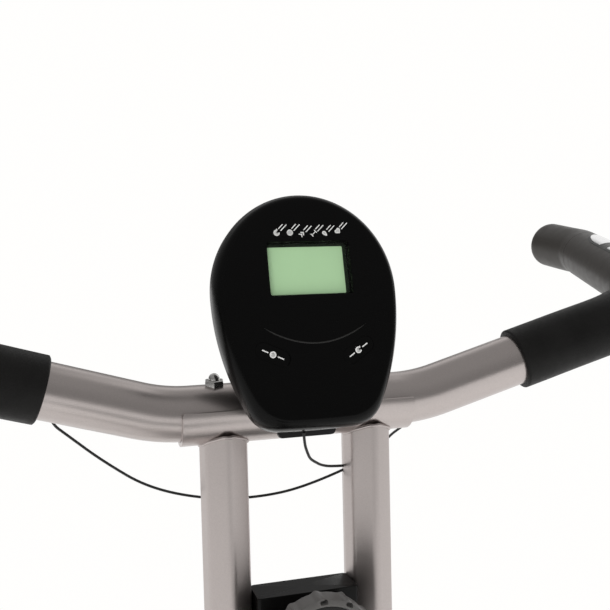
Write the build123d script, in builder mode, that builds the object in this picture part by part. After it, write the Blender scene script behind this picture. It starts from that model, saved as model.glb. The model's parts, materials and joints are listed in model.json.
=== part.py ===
from build123d import *
import os
from math import asin, atan2, cos, degrees, pi, radians, sin, sqrt, tan

# Upright air bike: a fan wheel turns between two parallel posts, which carry a fixed horn bar with the
# console in front of it.  X runs across the bike, +Y towards its front, +Z up.  The origin is on the
# floor, in the middle of the base.  All sizes are in millimetres and degrees.

os.makedirs("parts", exist_ok=True)

# Clearances
running_gap = 0.05          # round shaft in a round bore
seat_gap = 0.1              # pieces of one body that sit together
body_gap = 0.3              # pieces of different bodies that pass each other
weld_sink = 1.0             # how far a welded tube runs into the tube it is welded to

# Base
base_length = 960.0
base_width = 460.0          # bare stabiliser tubes
stabiliser_diameter = 50.0
stabiliser_wall = 2.0
cap_wall = 4.0
cap_length = 34.0
cap_foot_drop = 2.0         # thickness of the cap's foot under its wall
spine_width = 60.0
spine_height = 40.0
spine_wall = 2.5
roller_diameter = 38.0
roller_width = 14.0
roller_pin = 4.0

# Posts
bar_height = 1130.0         # axis of the straight middle of the handlebar
bar_forward = 250.0
post_lean = 4.8             # the posts lean forward towards the top
post_spacing = 87.0         # between the two post axes
post_half_width = 13.0      # the eight-sided tube is deeper than it is wide
post_half_depth = 17.0
post_shoulder = (11.0, 9.0)
post_wall = 2.0
post_nose_radius = 2.0      # front and rear corner
post_flank_radius = 5.0     # the other corners
post_cope_drop = 14.5       # flat cut under the bar axis
foot_plate_thickness = 8.0
foot_plate_depth = 74.0

# Handlebar
bar_diameter = 31.8
bar_wall = 2.0
bar_straight = 78.0         # from the middle to the corner of the first bend
bar_rise = 17.5             # slope of the arms
bar_sweep = -4.0            # the arms turn a little towards the rider
bar_arm = 179.0             # corner to corner
horn_reach = (53.0, 175.0, 18.0)    # corner to the slight bend near the tip
horn_end = (-3.0, 48.0, 3.5)        # slight bend to the tip
bar_bend_radius = 95.0
horn_bend_radius = 66.0
horn_kink_radius = 30.0
grip_diameter = 38.0
grip_start = 142.0          # inner end of the foam, measured across from the middle
sleeve_past_kink = 16.0     # foam beyond the slight bend, up to the pulse sensor
sleeve_tip = 4.0
sleeve_nose = 11.0
housing_length = 64.0
housing_diameter = 39.4
plate_arc = 158.0
plate_turn = -36.0          # the seam between the plates faces up and back
plate_thickness = 1.0
cradle_wall = 2.4
cradle_length = 137.5
cradle_lip = 9.0            # how far its edges rise over the bar's middle, in degrees
bar_bolt_spacing = 96.0
bar_bolt_diameter = 6.0
cap_nut_flats = 9.4
cap_nut_height = 4.0        # hexagon under the dome
cap_nut_dome = 3.1

# Console
console_tilt = 18.9
console_back = 25.5         # display centre, towards the rider from the bar axis
console_up = 80.6           # display centre above the bar axis
console_width = 105.0
console_crown = 57.0        # waist to the top
console_waist = -9.0        # widest level, from the display centre
console_foot = -84.5        # bottom edge, from the display centre
console_foot_half = 31.5
console_corner = 13.0
console_bevel = 6.0
face_height = 2.5           # face over the display glass
band_front = -8.5
seam_depth = -14.0
console_wall = 2.2
display_width = 41.7
display_height = 26.2
display_border = 2.0
lens_thickness = 1.0
board_thickness = 1.6
key_length = 20.0
key_width = 9.0
key_travel = 0.8
key_out = 24.0              # key centre, sideways
key_down = -43.8
mode_key_slant = -26.0
reset_key_slant = 33.0
bracket_width = 34.0
bracket_thickness = 2.6
bracket_low = -87.0
bracket_high = -38.0

# Tension control
tension_drop = 105.2        # box top under the bar axis, along the posts
box_depth = 27.5
box_front = 20.0            # in front of the post axes
box_height = 78.0
box_wall = 2.5
knob_radius = 31.0
knob_thickness = 15.0
knob_lobes = 12
knob_standoff = 19.0        # box front to the knob's back
knob_drop = 21.5            # box top to the knob's axis
spindle_diameter = 10.0

# Fan wheel and its guards
wheel_height = 350.0
blade_tip_radius = 230.0
web_radius = 62.0           # inner flange of the wheel, where the spokes start
blade_count = 12
blade_half_width = 19.0
blade_thickness = 1.6
blade_bow = 26.0            # radius change of direction over the blade, in degrees
wheel_rim_radius = 158.0
wheel_rim_depth = 10.0
wheel_rim_half_width = 12.0
spoke_count = 6
spoke_width = 22.0
hub_radius = 30.0
axle_diameter = 12.0
bearing_outer = 28.0
bearing_width = 8.0
guard_radius = 246.0
guard_half_width = 27.5
guard_bar = 3.0
guard_rim_bar = 5.0
guard_ribs = 20
guard_rings = 4

# Drive
crank_y = -130.0
strut_rise = 60.0           # the strut meets the seat tube this far above the cranks
stay_drop = 60.0            # the stays meet the posts this far under the wheel
post_cut_half = 60.0        # half length of the cuts that seat pieces on the posts
crank_height = 300.0
crank_length = 165.0
crank_width = 26.0
crank_thickness = 14.0
crank_offset = 90.0         # inner face of the cranks, from the middle
crank_axle_diameter = 17.0
crank_bearing_outer = 35.0
crank_bearing_width = 10.0
bb_half_length = 68.0
bb_wall = 3.0
chain_pitch = 12.7
chainring_teeth = 39
sprocket_teeth = 13
chain_line = 75.0
tooth_thickness = 2.6
case_width = 17.0
case_wall = 1.8
case_margin = 7.0           # chain to the inside of the case
pedal_width = 84.0
pedal_depth = 96.0
pedal_height = 24.0
pedal_spindle_diameter = 12.0
strap_width = 26.0
strap_thickness = 2.5
strap_arch = 62.0

# Seat
seat_tube_y = -190.0        # where its axis meets the top of the spine
seat_tube_angle = 78.0
seat_tube_diameter = 50.0
seat_tube_wall = 2.0
seat_tube_top = 545.0
seat_post_diameter = 38.0
seat_post_wall = 2.0
seat_post_insert = 190.0    # post length inside the tube
saddle_height = 860.0       # top of the saddle
saddle_thickness = 62.0
saddle_shell_thickness = 14.0
saddle_half_width = 122.0
saddle_rear_radius = 58.0
saddle_nose_radius = 32.0
saddle_length = 272.0
lock_knob_radius = 24.0

# Wires
wire_diameter = 1.6
wire_exit = (140.0, 137.0)  # left and right hole at the back of the arms, from the middle
wire_hole = 1.4             # its radius

# Worked-out places
bar_radius = bar_diameter / 2
cradle_radius = bar_radius + seat_gap + cradle_wall
stabiliser_radius = stabiliser_diameter / 2
cap_radius = stabiliser_radius + cap_wall
stabiliser_z = cap_radius + cap_foot_drop
stabiliser_y = base_length / 2 - cap_radius
spine_bottom = stabiliser_z + stabiliser_radius - weld_sink * 4
spine_top = spine_bottom + spine_height
plate_top = spine_top + foot_plate_thickness
post_x = post_spacing / 2
lean = radians(post_lean)
seat_lean = radians(seat_tube_angle)
standing = (Align.CENTER, Align.CENTER, Align.MIN)
hanging = (Align.CENTER, Align.CENTER, Align.MAX)
upper = (Align.CENTER, Align.MIN)
lower = (Align.CENTER, Align.MAX)
pitch_of_chainring = chain_pitch / (2 * sin(pi / chainring_teeth))
pitch_of_sprocket = chain_pitch / (2 * sin(pi / sprocket_teeth))


def post_y(height):
    """Y of the post axes at a height."""
    return bar_forward - (bar_height - height) * tan(lean)


wheel_y = post_y(wheel_height)
wheel_centre = (0, wheel_y, wheel_height)
crank_centre = (0, crank_y, crank_height)
post_up = (0, sin(lean), cos(lean))
bar_plane = Plane(origin=(0, bar_forward, bar_height), x_dir=(1, 0, 0), z_dir=post_up)


def export(piece, name):
    """Label a finished piece and write its STEP file."""
    piece.part.label = name
    export_step(piece.part, f"parts/{name}.step")


def side(distance, centre=(0, 0, 0)):
    """Sketch plane across the bike at X = distance: its x is the bike's Y, its y is the bike's Z."""
    return Plane(origin=(distance, centre[1], centre[2]), x_dir=(0, 1, 0), z_dir=(1, 0, 0))


# ---------------------------------------------------------------- base

with BuildPart() as base_spine:
    spine_half = stabiliser_y + stabiliser_radius * 0.6
    spine_plane = Plane(
        origin=(0, -spine_half, spine_bottom + spine_height / 2), x_dir=(1, 0, 0), z_dir=(0, 1, 0),
    )
    with BuildSketch(spine_plane):
        RectangleRounded(spine_width, spine_height, 5)
    extrude(amount=2 * spine_half)
    with BuildSketch(spine_plane.offset(spine_wall)):
        RectangleRounded(spine_width - 2 * spine_wall, spine_height - 2 * spine_wall, 3)
    extrude(amount=2 * (spine_half - spine_wall), mode=Mode.SUBTRACT)
    for end in (-1, 1):
        with BuildSketch(Plane.YZ.offset(-spine_width / 2 - 8)) as cradle_sketch:
            with Locations((end * stabiliser_y, stabiliser_z)):
                Circle(stabiliser_radius + 3.5)
                Rectangle(2 * stabiliser_diameter, stabiliser_diameter, align=lower, mode=Mode.SUBTRACT)
        extrude(amount=spine_width + 16)
        with Locations(Location((0, end * stabiliser_y, stabiliser_z), (0, 90, 0))):
            Cylinder(stabiliser_radius + seat_gap, spine_width + 20, mode=Mode.SUBTRACT)
    with Locations(*[Location((dx, end * stabiliser_y, spine_top)) for end in (-1, 1) for dx in (-16, 16)]):
        Cylinder(4.2, 4 * spine_height, mode=Mode.SUBTRACT)
export(base_spine, "base_spine")


def stabiliser(end):
    """Cross tube of the base with two holes for its bolts."""
    with BuildPart() as tube:
        with BuildSketch(side(-base_width / 2, (0, end * stabiliser_y, stabiliser_z))):
            Circle(stabiliser_radius)
            Circle(stabiliser_radius - stabiliser_wall, mode=Mode.SUBTRACT)
        extrude(amount=base_width)
        with Locations(*[Location((dx, end * stabiliser_y, stabiliser_z)) for dx in (-16, 16)]):
            Cylinder(4.2, 2 * stabiliser_diameter, mode=Mode.SUBTRACT)
    return tube


front_stabiliser = stabiliser(1)
export(front_stabiliser, "front_stabiliser")
rear_stabiliser = stabiliser(-1)
export(rear_stabiliser, "rear_stabiliser")

cap_plug = 18.0
roller_z = roller_diameter / 2 + 1.5
cap_outer_x = base_width / 2 + cap_length - cap_plug


def end_cap(hand, end):
    """Moulded cup on a stabiliser end, flat underneath; a front one carries a stub for its roller."""
    inner = hand * (base_width / 2 - cap_plug)
    with BuildPart() as cap:
        with BuildSketch(side(inner, (0, end * stabiliser_y, 0))):
            with Locations((0, stabiliser_z)):
                Circle(cap_radius)
            Rectangle(1.6 * cap_radius, stabiliser_z, align=upper)
        extrude(amount=hand * cap_length)
        outer = cap.faces().sort_by(Axis.X)[-1 if hand > 0 else 0]
        fillet(outer.edges(), radius=3)
        with BuildSketch(side(inner, (0, end * stabiliser_y, stabiliser_z))):
            Circle(stabiliser_radius + seat_gap)
        extrude(amount=hand * cap_plug, mode=Mode.SUBTRACT)
        if end > 0:
            stub = (0, stabiliser_y, roller_z)
            with BuildSketch(side(hand * (cap_outer_x - 2), stub)):
                Circle(7)
            extrude(amount=hand * 3)
            with BuildSketch(side(hand * cap_outer_x, stub)):
                Circle(roller_pin)
            extrude(amount=hand * (roller_width + 4))
            with BuildSketch(side(hand * (cap_outer_x + roller_width + 2), stub)):
                Circle(7)
            extrude(amount=hand * 2)
    return cap.part


with BuildPart() as front_end_caps:
    for hand in (-1, 1):
        add(end_cap(hand, 1))
export(front_end_caps, "front_end_caps")
with BuildPart() as rear_end_caps:
    for hand in (-1, 1):
        add(end_cap(hand, -1))
export(rear_end_caps, "rear_end_caps")


def roller(hand):
    """Transport roller with a rounded tread."""
    with BuildPart() as wheel:
        with BuildSketch(side(hand * (cap_outer_x + 1 + body_gap), (0, stabiliser_y, roller_z))):
            Circle(roller_diameter / 2)
            Circle(roller_pin + running_gap, mode=Mode.SUBTRACT)
        extrude(amount=hand * (roller_width + 1 - 2 * body_gap))
        fillet(wheel.edges().filter_by(GeomType.CIRCLE).group_by(SortBy.RADIUS)[-1], radius=2.5)
    return wheel


left_roller = roller(-1)
export(left_roller, "left_roller")
right_roller = roller(1)
export(right_roller, "right_roller")

with BuildPart() as base_bolts:
    for end in (-1, 1):
        for dx in (-16, 16):
            with Locations((dx, end * stabiliser_y, stabiliser_z - stabiliser_radius - 2.2)):
                Cylinder(8, 2, align=standing)
                Cylinder(4, stabiliser_diameter + spine_height + 8, align=standing)
            with BuildSketch(Plane.XY.offset(spine_top + 0.1)):
                with Locations((dx, end * stabiliser_y)):
                    RegularPolygon(7.5, 6)
            extrude(amount=6)
            with Locations((dx, end * stabiliser_y, spine_top + 6)):
                Sphere(5.8, arc_size1=0)
export(base_bolts, "base_bolts")

# ---------------------------------------------------------------- posts and cradle

foot_y = post_y(plate_top)
with BuildPart() as post_foot:
    with BuildSketch(Plane.XY.offset(spine_top)):
        with Locations((0, foot_y)):
            RectangleRounded(post_spacing + 2 * post_half_depth + 8, foot_plate_depth, 8)
    extrude(amount=foot_plate_thickness)
    for hand in (-1, 1):
        corner = (hand * (spine_width / 2), foot_y, spine_top)
        gusset = post_x + post_half_width - spine_width / 2
        with BuildSketch(Plane(origin=corner, x_dir=(hand, 0, 0), z_dir=(0, -hand, 0))):
            Polygon((0, 0), (gusset, 0), (0, -spine_height * 0.7), align=None)
        extrude(amount=3, both=True)
export(post_foot, "post_foot")


def eight_sided(growth, nose, flank):
    """Outline of the post: a corner faces the rider, and the side corners are rounder."""
    across, along = post_shoulder
    right = [(0, -post_half_depth), (across, -along), (post_half_width, 0), (across, along)]
    left = [(-x, -y) for x, y in right]
    with BuildSketch(mode=Mode.PRIVATE) as outline:
        Polygon(*right, *left, align=None)
        if growth:
            offset(amount=growth, kind=Kind.INTERSECTION)
        noses = outline.vertices().group_by(Axis.Y)[0] + outline.vertices().group_by(Axis.Y)[-1]
        fillet(noses, radius=nose)
        flanks = outline.vertices().filter_by(lambda v: abs(v.Y) < post_half_depth * 0.75)
        fillet(flanks, radius=flank)
    return outline.sketch


def post(hand):
    """Eight-sided tube from the foot plate to the cradle."""
    low = (bar_height - plate_top) / cos(lean)
    with BuildPart() as tube:
        with BuildSketch(bar_plane.offset(-low - post_half_depth)):
            with Locations((hand * post_x, 0)):
                add(eight_sided(0, post_nose_radius, post_flank_radius))
                add(eight_sided(-post_wall, 1, post_flank_radius - post_wall), mode=Mode.SUBTRACT)
        extrude(amount=low + post_half_depth - post_cope_drop)
        with Locations(Location((hand * post_x, foot_y, plate_top))):
            Box(4 * post_half_width, 6 * post_half_depth, 100, align=hanging, mode=Mode.SUBTRACT)
        with Locations(Location((0, bar_forward, bar_height), (0, 90, 0))):
            Cylinder(cradle_radius, 4 * post_spacing, mode=Mode.SUBTRACT)
        with Locations(Location((hand * post_x, wheel_y, wheel_height), (0, 90, 0))):
            Cylinder(axle_diameter / 2 + 2, 4 * post_half_width, mode=Mode.SUBTRACT)
    return tube


left_post = post(-1)
export(left_post, "left_post")
right_post = post(1)
export(right_post, "right_post")

with BuildPart() as bar_cradle:
    cradle_end = Plane(
        origin=(-cradle_length / 2, bar_forward, bar_height),
        x_dir=(0, cos(lean), -sin(lean)), z_dir=(1, 0, 0),
    )
    with BuildSketch(cradle_end):
        Circle(cradle_radius)
        Circle(bar_radius + seat_gap, mode=Mode.SUBTRACT)
        with Locations((0, cradle_radius * sin(radians(cradle_lip)))):
            Rectangle(3 * cradle_radius, 2 * cradle_radius, align=upper, mode=Mode.SUBTRACT)
    extrude(amount=cradle_length)
    with Locations(*[Location((hand * bar_bolt_spacing / 2, bar_forward, bar_height)) for hand in (-1, 1)]):
        Cylinder(bar_bolt_diameter / 2 + 0.2, 4 * cradle_radius, mode=Mode.SUBTRACT)
export(bar_cradle, "bar_cradle")

# ---------------------------------------------------------------- handlebar

rise = radians(bar_rise)
sweep_angle = radians(bar_sweep)
arm_direction = Vector(cos(rise) * cos(sweep_angle), sin(sweep_angle) * cos(rise), sin(rise))
bar_middle = Vector(0, bar_forward, bar_height)
bend_corner = bar_middle + Vector(bar_straight, 0, 0)
horn_corner = bend_corner + arm_direction * bar_arm
horn_kink = horn_corner + Vector(*horn_reach)
horn_tip = horn_kink + Vector(*horn_end)


def mirrored(point):
    """The same point on the other side of the bike."""
    return Vector(-point.X, point.Y, point.Z)


def arm_point(across):
    """Point on the right arm's axis at a distance from the middle."""
    return bend_corner + arm_direction * ((across - bar_straight) / arm_direction.X)


with BuildPart() as handlebar:
    with BuildLine() as bar_line:
        FilletPolyline(
            mirrored(horn_tip), mirrored(horn_kink), mirrored(horn_corner), mirrored(bend_corner),
            bend_corner, horn_corner, horn_kink, horn_tip,
            radius=(horn_kink_radius, horn_bend_radius, bar_bend_radius,
                    bar_bend_radius, horn_bend_radius, horn_kink_radius),
        )
    with BuildSketch(Plane(origin=bar_line.line @ 0, z_dir=bar_line.line % 0)):
        Circle(bar_radius)
        Circle(bar_radius - bar_wall, mode=Mode.SUBTRACT)
    sweep(path=bar_line.line)
    with Locations(*[Location((hand * bar_bolt_spacing / 2, bar_forward, bar_height)) for hand in (-1, 1)]):
        Cylinder(bar_bolt_diameter / 2 + 0.2, 4 * bar_radius, mode=Mode.SUBTRACT)
    for hand, across in zip((-1, 1), wire_exit):
        place = arm_point(across)
        with Locations(Location((hand * across, place.Y, place.Z), (-135, 0, 0))):
            Cylinder(wire_hole, 1.5 * bar_radius, align=standing, mode=Mode.SUBTRACT)
export(handlebar, "handlebar")

horn_direction = Vector(*horn_reach).normalized()
end_direction = Vector(*horn_end).normalized()
grip_inner = arm_point(grip_start)
housing_end = horn_kink - horn_direction * sleeve_past_kink
housing_start = housing_end - horn_direction * housing_length


def grip(hand):
    """Foam sleeve from the straight of the arm round the bend to the pulse sensor."""
    with BuildPart() as foam:
        with BuildLine() as run:
            FilletPolyline(grip_inner, horn_corner, housing_start, radius=horn_bend_radius)
        with BuildSketch(Plane(origin=run.line @ 0, z_dir=run.line % 0)):
            Circle(grip_diameter / 2)
            Circle(bar_radius + seat_gap, mode=Mode.SUBTRACT)
        sweep(path=run.line)
    return foam.part if hand > 0 else foam.part.mirror(Plane.YZ)


with BuildPart() as foam_grips:
    for hand in (-1, 1):
        add(grip(hand))
export(foam_grips, "foam_grips")


def horn_plane(point, direction=horn_direction):
    """Plane across the horn: its y points up."""
    across = direction.cross(Vector(0, 0, 1)).normalized()
    return Plane(origin=point, x_dir=across, z_dir=direction)


def horn_sleeve(hand):
    """Closed foam end of the horn, bent with it and with a round nose."""
    with BuildPart() as foam:
        with BuildLine() as run:
            FilletPolyline(housing_end, horn_kink, horn_tip, radius=horn_kink_radius)
        with BuildSketch(horn_plane(housing_end)):
            Circle(grip_diameter / 2)
            Circle(bar_radius + seat_gap, mode=Mode.SUBTRACT)
        sweep(path=run.line)
        with BuildSketch(horn_plane(horn_tip, end_direction).offset(-sleeve_nose)):
            Circle(grip_diameter / 2)
        extrude(amount=sleeve_nose + sleeve_tip)
        nose = foam.faces().sort_by(Axis.Y)[-1]
        fillet(nose.edges(), radius=sleeve_nose)
        with BuildSketch(horn_plane(horn_tip, end_direction).offset(seat_gap)):
            Circle(bar_radius + seat_gap)
        extrude(amount=-2 * sleeve_nose, mode=Mode.SUBTRACT)
    return foam.part if hand > 0 else foam.part.mirror(Plane.YZ)


with BuildPart() as horn_sleeves:
    for hand in (-1, 1):
        add(horn_sleeve(hand))
export(horn_sleeves, "horn_sleeves")

housing_radius = housing_diameter / 2


def plate_sketch(outer, inner, up):
    """Sector of a ring over or under the horn."""
    with BuildSketch(mode=Mode.PRIVATE) as sector:
        Circle(outer)
        Circle(inner, mode=Mode.SUBTRACT)
        half = radians(plate_arc / 2)
        reach = 2 * outer
        Polygon((0, 0), (-reach * sin(half), up * reach * cos(half)), (0, up * 2 * reach),
                (reach * sin(half), up * reach * cos(half)), align=None, mode=Mode.INTERSECT)
    return sector.sketch


def plate_plane(distance):
    """Plane across the horn at a distance from the sensor's start, turned to the plates' seam."""
    level = horn_plane(housing_start + horn_direction * distance)
    turn = radians(plate_turn)
    turned = level.x_dir * cos(turn) + level.y_dir * sin(turn)
    return Plane(origin=level.origin, x_dir=turned, z_dir=level.z_dir)


def pulse_housing(hand):
    """Moulded sleeve with an upper and a lower recess for the sensor plates."""
    with BuildPart() as shell:
        with BuildSketch(horn_plane(housing_start + horn_direction * seat_gap)):
            Circle(housing_radius)
            Circle(bar_radius + seat_gap, mode=Mode.SUBTRACT)
        extrude(amount=housing_length - 2 * seat_gap)
        for up in (-1, 1):
            with BuildSketch(plate_plane(5)):
                add(plate_sketch(housing_radius + 1, housing_radius - plate_thickness, up))
            extrude(amount=housing_length - 10, mode=Mode.SUBTRACT)
    return shell.part if hand > 0 else shell.part.mirror(Plane.YZ)


def pulse_plate(hand, up):
    """Curved metal plate in its recess, standing slightly proud."""
    with BuildPart() as plate:
        with BuildSketch(plate_plane(5 + seat_gap)):
            add(plate_sketch(housing_radius + 0.4, housing_radius - plate_thickness + 0.02, up))
        extrude(amount=housing_length - 10 - 2 * seat_gap)
    return plate.part if hand > 0 else plate.part.mirror(Plane.YZ)


with BuildPart() as pulse_housings:
    for hand in (-1, 1):
        add(pulse_housing(hand))
export(pulse_housings, "pulse_housings")
with BuildPart() as pulse_plates:
    for hand in (-1, 1):
        for up in (-1, 1):
            add(pulse_plate(hand, up))
export(pulse_plates, "pulse_plates")

with BuildPart() as bar_bolts:
    for hand in (-1, 1):
        bolt_x = hand * bar_bolt_spacing / 2
        nut_base = bar_height + bar_radius
        with Locations((bolt_x, bar_forward, bar_height - cradle_radius - 1.9)):
            Cylinder(bar_bolt_diameter * 0.9, 1.8, align=standing)
            Cylinder(bar_bolt_diameter / 2, cradle_radius + bar_radius + cap_nut_height, align=standing)
        with BuildSketch(Plane.XY.offset(nut_base)):
            with Locations((bolt_x, bar_forward)):
                RegularPolygon(cap_nut_flats / sqrt(3), 6)
        extrude(amount=cap_nut_height)
        with Locations((bolt_x, bar_forward, nut_base + cap_nut_height)):
            Cylinder(cap_nut_dome, 1, align=standing)
        with Locations((bolt_x, bar_forward, nut_base + cap_nut_height + 1)):
            Sphere(cap_nut_dome, arc_size1=0)
export(bar_bolts, "bar_bolts")

# ---------------------------------------------------------------- console

tilt = radians(console_tilt)
console_out = Vector(0, -cos(tilt), sin(tilt))
display_centre = Vector(0, bar_forward - console_back, bar_height + console_up)
console_plane = Plane(origin=display_centre, x_dir=(1, 0, 0), z_dir=console_out)
bar_to_console = console_back * cos(tilt) + console_up * sin(tilt)
bracket_back = -(bar_to_console - cradle_radius - seat_gap)
bracket_front = bracket_back + bracket_thickness
console_rear = bracket_front


def egg(inset):
    """Console outline, shrunk evenly: a half ellipse on two bowed flanks and a nearly flat foot."""
    half = console_width / 2 - inset
    foot_half = console_foot_half - inset * 0.8
    foot = console_foot + inset
    with BuildSketch(mode=Mode.PRIVATE) as outline:
        with BuildLine():
            EllipticalCenterArc((0, console_waist), half, console_crown - inset, start_angle=0, arc_size=180)
            TangentArc((half, console_waist), (foot_half, foot + 1), tangent=(0, -1))
            ThreePointArc((foot_half, foot + 1), (0, foot), (-foot_half, foot + 1))
            TangentArc((-half, console_waist), (-foot_half, foot + 1), tangent=(0, -1))
        make_face()
        fillet(outline.vertices().group_by(Axis.Y)[0], radius=console_corner - inset * 0.6)
    return outline.sketch


key_places = {
    "mode": (-key_out, mode_key_slant),
    "reset": (key_out, reset_key_slant),
}

with BuildPart() as console_front_shell:
    with BuildSketch(console_plane.offset(seam_depth)):
        add(egg(0))
    extrude(amount=band_front - seam_depth)
    with BuildSketch(console_plane.offset(band_front)):
        add(egg(0))
    with BuildSketch(console_plane.offset(face_height)):
        add(egg(console_bevel))
    loft()
    with BuildSketch(console_plane.offset(seam_depth)):
        add(egg(console_bevel + console_wall))
    extrude(amount=face_height - console_wall - seam_depth, mode=Mode.SUBTRACT)
    with BuildSketch(console_plane.offset(face_height)):
        RectangleRounded(display_width + 2 * display_border, display_height + 2 * display_border, 2.5)
    extrude(amount=-3 * console_wall, mode=Mode.SUBTRACT)
    with BuildSketch(console_plane.offset(face_height)):
        with BuildLine():
            ThreePointArc((-29, -30), (0, -40.2), (29, -30))
            ThreePointArc((-29, -30), (0, -38.6), (29, -30))
        make_face()
    extrude(amount=0.5)
    for out, slant in key_places.values():
        with BuildSketch(console_plane.offset(face_height)):
            with Locations(Location((out, key_down), slant)):
                SlotOverall(key_length + 2 * body_gap, key_width + 2 * body_gap)
        extrude(amount=-3 * console_wall, mode=Mode.SUBTRACT)
export(console_front_shell, "console_front_shell")

battery_width = 34.0
battery_height = 44.0
battery_up = 12.0
rear_slope = 8.0
with BuildPart() as console_rear_shell:
    with BuildSketch(console_plane.offset(seam_depth)):
        add(egg(0.6))
    with BuildSketch(console_plane.offset(console_rear)):
        add(egg(0.6 + rear_slope))
    loft()
    with BuildSketch(console_plane.offset(seam_depth)):
        add(egg(console_bevel + console_wall))
    with BuildSketch(console_plane.offset(console_rear + console_wall)):
        add(egg(rear_slope + 0.6 + console_wall))
    loft(mode=Mode.SUBTRACT)
    with BuildSketch(console_plane.offset(console_rear)):
        with Locations((0, battery_up)):
            RectangleRounded(battery_width, battery_height, 3)
    extrude(amount=console_wall + 1, mode=Mode.SUBTRACT)
    with BuildSketch(console_plane.offset(console_rear)):
        with Locations((-9, -50), (9, -50)):
            Circle(3.5)
    extrude(amount=14)
    with BuildSketch(console_plane.offset(console_rear)):
        with Locations((-9, -50), (9, -50)):
            Circle(1.6)
    extrude(amount=12, mode=Mode.SUBTRACT)
export(console_rear_shell, "console_rear_shell")

with BuildPart() as battery_door:
    with BuildSketch(console_plane.offset(console_rear)):
        with Locations((0, battery_up)):
            RectangleRounded(battery_width - 2 * seat_gap, battery_height - 2 * seat_gap, 3)
    extrude(amount=console_wall)
    with BuildSketch(console_plane.offset(console_rear)):
        with Locations((0, battery_up + battery_height / 2 - 6)):
            SlotOverall(14, 3)
    extrude(amount=0.8, mode=Mode.SUBTRACT)
export(battery_door, "battery_door")

with BuildPart() as console_lens:
    with BuildSketch(console_plane.offset(0.4)):
        rim = 2 * (display_border - seat_gap)
        RectangleRounded(display_width + rim, display_height + rim, 2.2)
    extrude(amount=lens_thickness)
export(console_lens, "console_lens")

with BuildPart() as display:
    with BuildSketch(console_plane.offset(-2.4)):
        Rectangle(display_width + 2, display_height + 2)
    extrude(amount=2.4)
    with BuildSketch(console_plane.offset(-2.4)):
        Rectangle(display_width - 6, 3)
    extrude(amount=-(8 - 2.4 - board_thickness))
export(display, "display")

board_front = -8.0 + board_thickness
with BuildPart() as console_board:
    with BuildSketch(console_plane.offset(board_front - board_thickness)):
        add(egg(console_bevel + console_wall + 1.0))
    extrude(amount=board_thickness)
    for out, slant in key_places.values():
        with BuildSketch(console_plane.offset(board_front)):
            with Locations((out, key_down)):
                Rectangle(6, 6)
        extrude(amount=2)
export(console_board, "console_board")


def key(out, slant):
    """Oblong key cap with a stem that ends over its switch."""
    with BuildPart() as cap:
        with BuildSketch(console_plane.offset(face_height)):
            with Locations(Location((out, key_down), slant)):
                SlotOverall(key_length, key_width)
        extrude(amount=-2.0)
        with BuildSketch(console_plane.offset(face_height - 2)):
            with Locations((out, key_down)):
                Circle(2)
        extrude(amount=-(face_height - 2 - board_front - 2 - key_travel - body_gap))
    return cap


mode_button = key(*key_places["mode"])
export(mode_button, "mode_button")
reset_button = key(*key_places["reset"])
export(reset_button, "reset_button")

with BuildPart() as console_bracket:
    with BuildSketch(console_plane.offset(bracket_back)):
        with Locations((0, (bracket_low + bracket_high) / 2)):
            RectangleRounded(bracket_width, bracket_high - bracket_low, 3)
        with Locations((-9, -50), (9, -50)):
            Circle(2, mode=Mode.SUBTRACT)
    extrude(amount=bracket_thickness)
export(console_bracket, "console_bracket")

# ---------------------------------------------------------------- tension control

box_half = post_x - post_half_width - seat_gap
box_centre_y = (box_depth / 2) - box_front
tension_plane = bar_plane.offset(-tension_drop)
front_plane = Plane(
    origin=(bar_plane.offset(-tension_drop - knob_drop)).from_local_coords((0, -box_front, 0)),
    x_dir=(1, 0, 0), z_dir=(0, -cos(lean), sin(lean)),
)

with BuildPart() as tension_box:
    with BuildSketch(tension_plane):
        with Locations((0, box_centre_y)):
            RectangleRounded(2 * box_half, box_depth, 2)
    extrude(amount=-box_height)
    with BuildSketch(tension_plane.offset(-box_wall)):
        with Locations((0, box_centre_y)):
            Rectangle(2 * (box_half - box_wall), box_depth - 2 * box_wall)
    extrude(amount=-(box_height - box_wall), mode=Mode.SUBTRACT)
    for hand in (-1, 1):
        with BuildSketch(tension_plane):
            with Locations((hand * post_x, 0)):
                add(eight_sided(seat_gap, post_nose_radius, post_flank_radius))
        extrude(amount=-box_height, mode=Mode.SUBTRACT)
    with BuildSketch(front_plane):
        Circle(spindle_diameter / 2 + 5)
    extrude(amount=6)
    with BuildSketch(front_plane.offset(-box_wall - 1)):
        Circle(spindle_diameter / 2 + running_gap)
    extrude(amount=box_wall + 8, mode=Mode.SUBTRACT)
export(tension_box, "tension_box")

with BuildPart() as tension_spindle:
    with BuildSketch(front_plane.offset(-box_depth + box_wall + 2)):
        Circle(spindle_diameter / 2)
    extrude(amount=box_depth - box_wall - 2 + knob_standoff + knob_thickness - 4)
export(tension_spindle, "tension_spindle")

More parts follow.
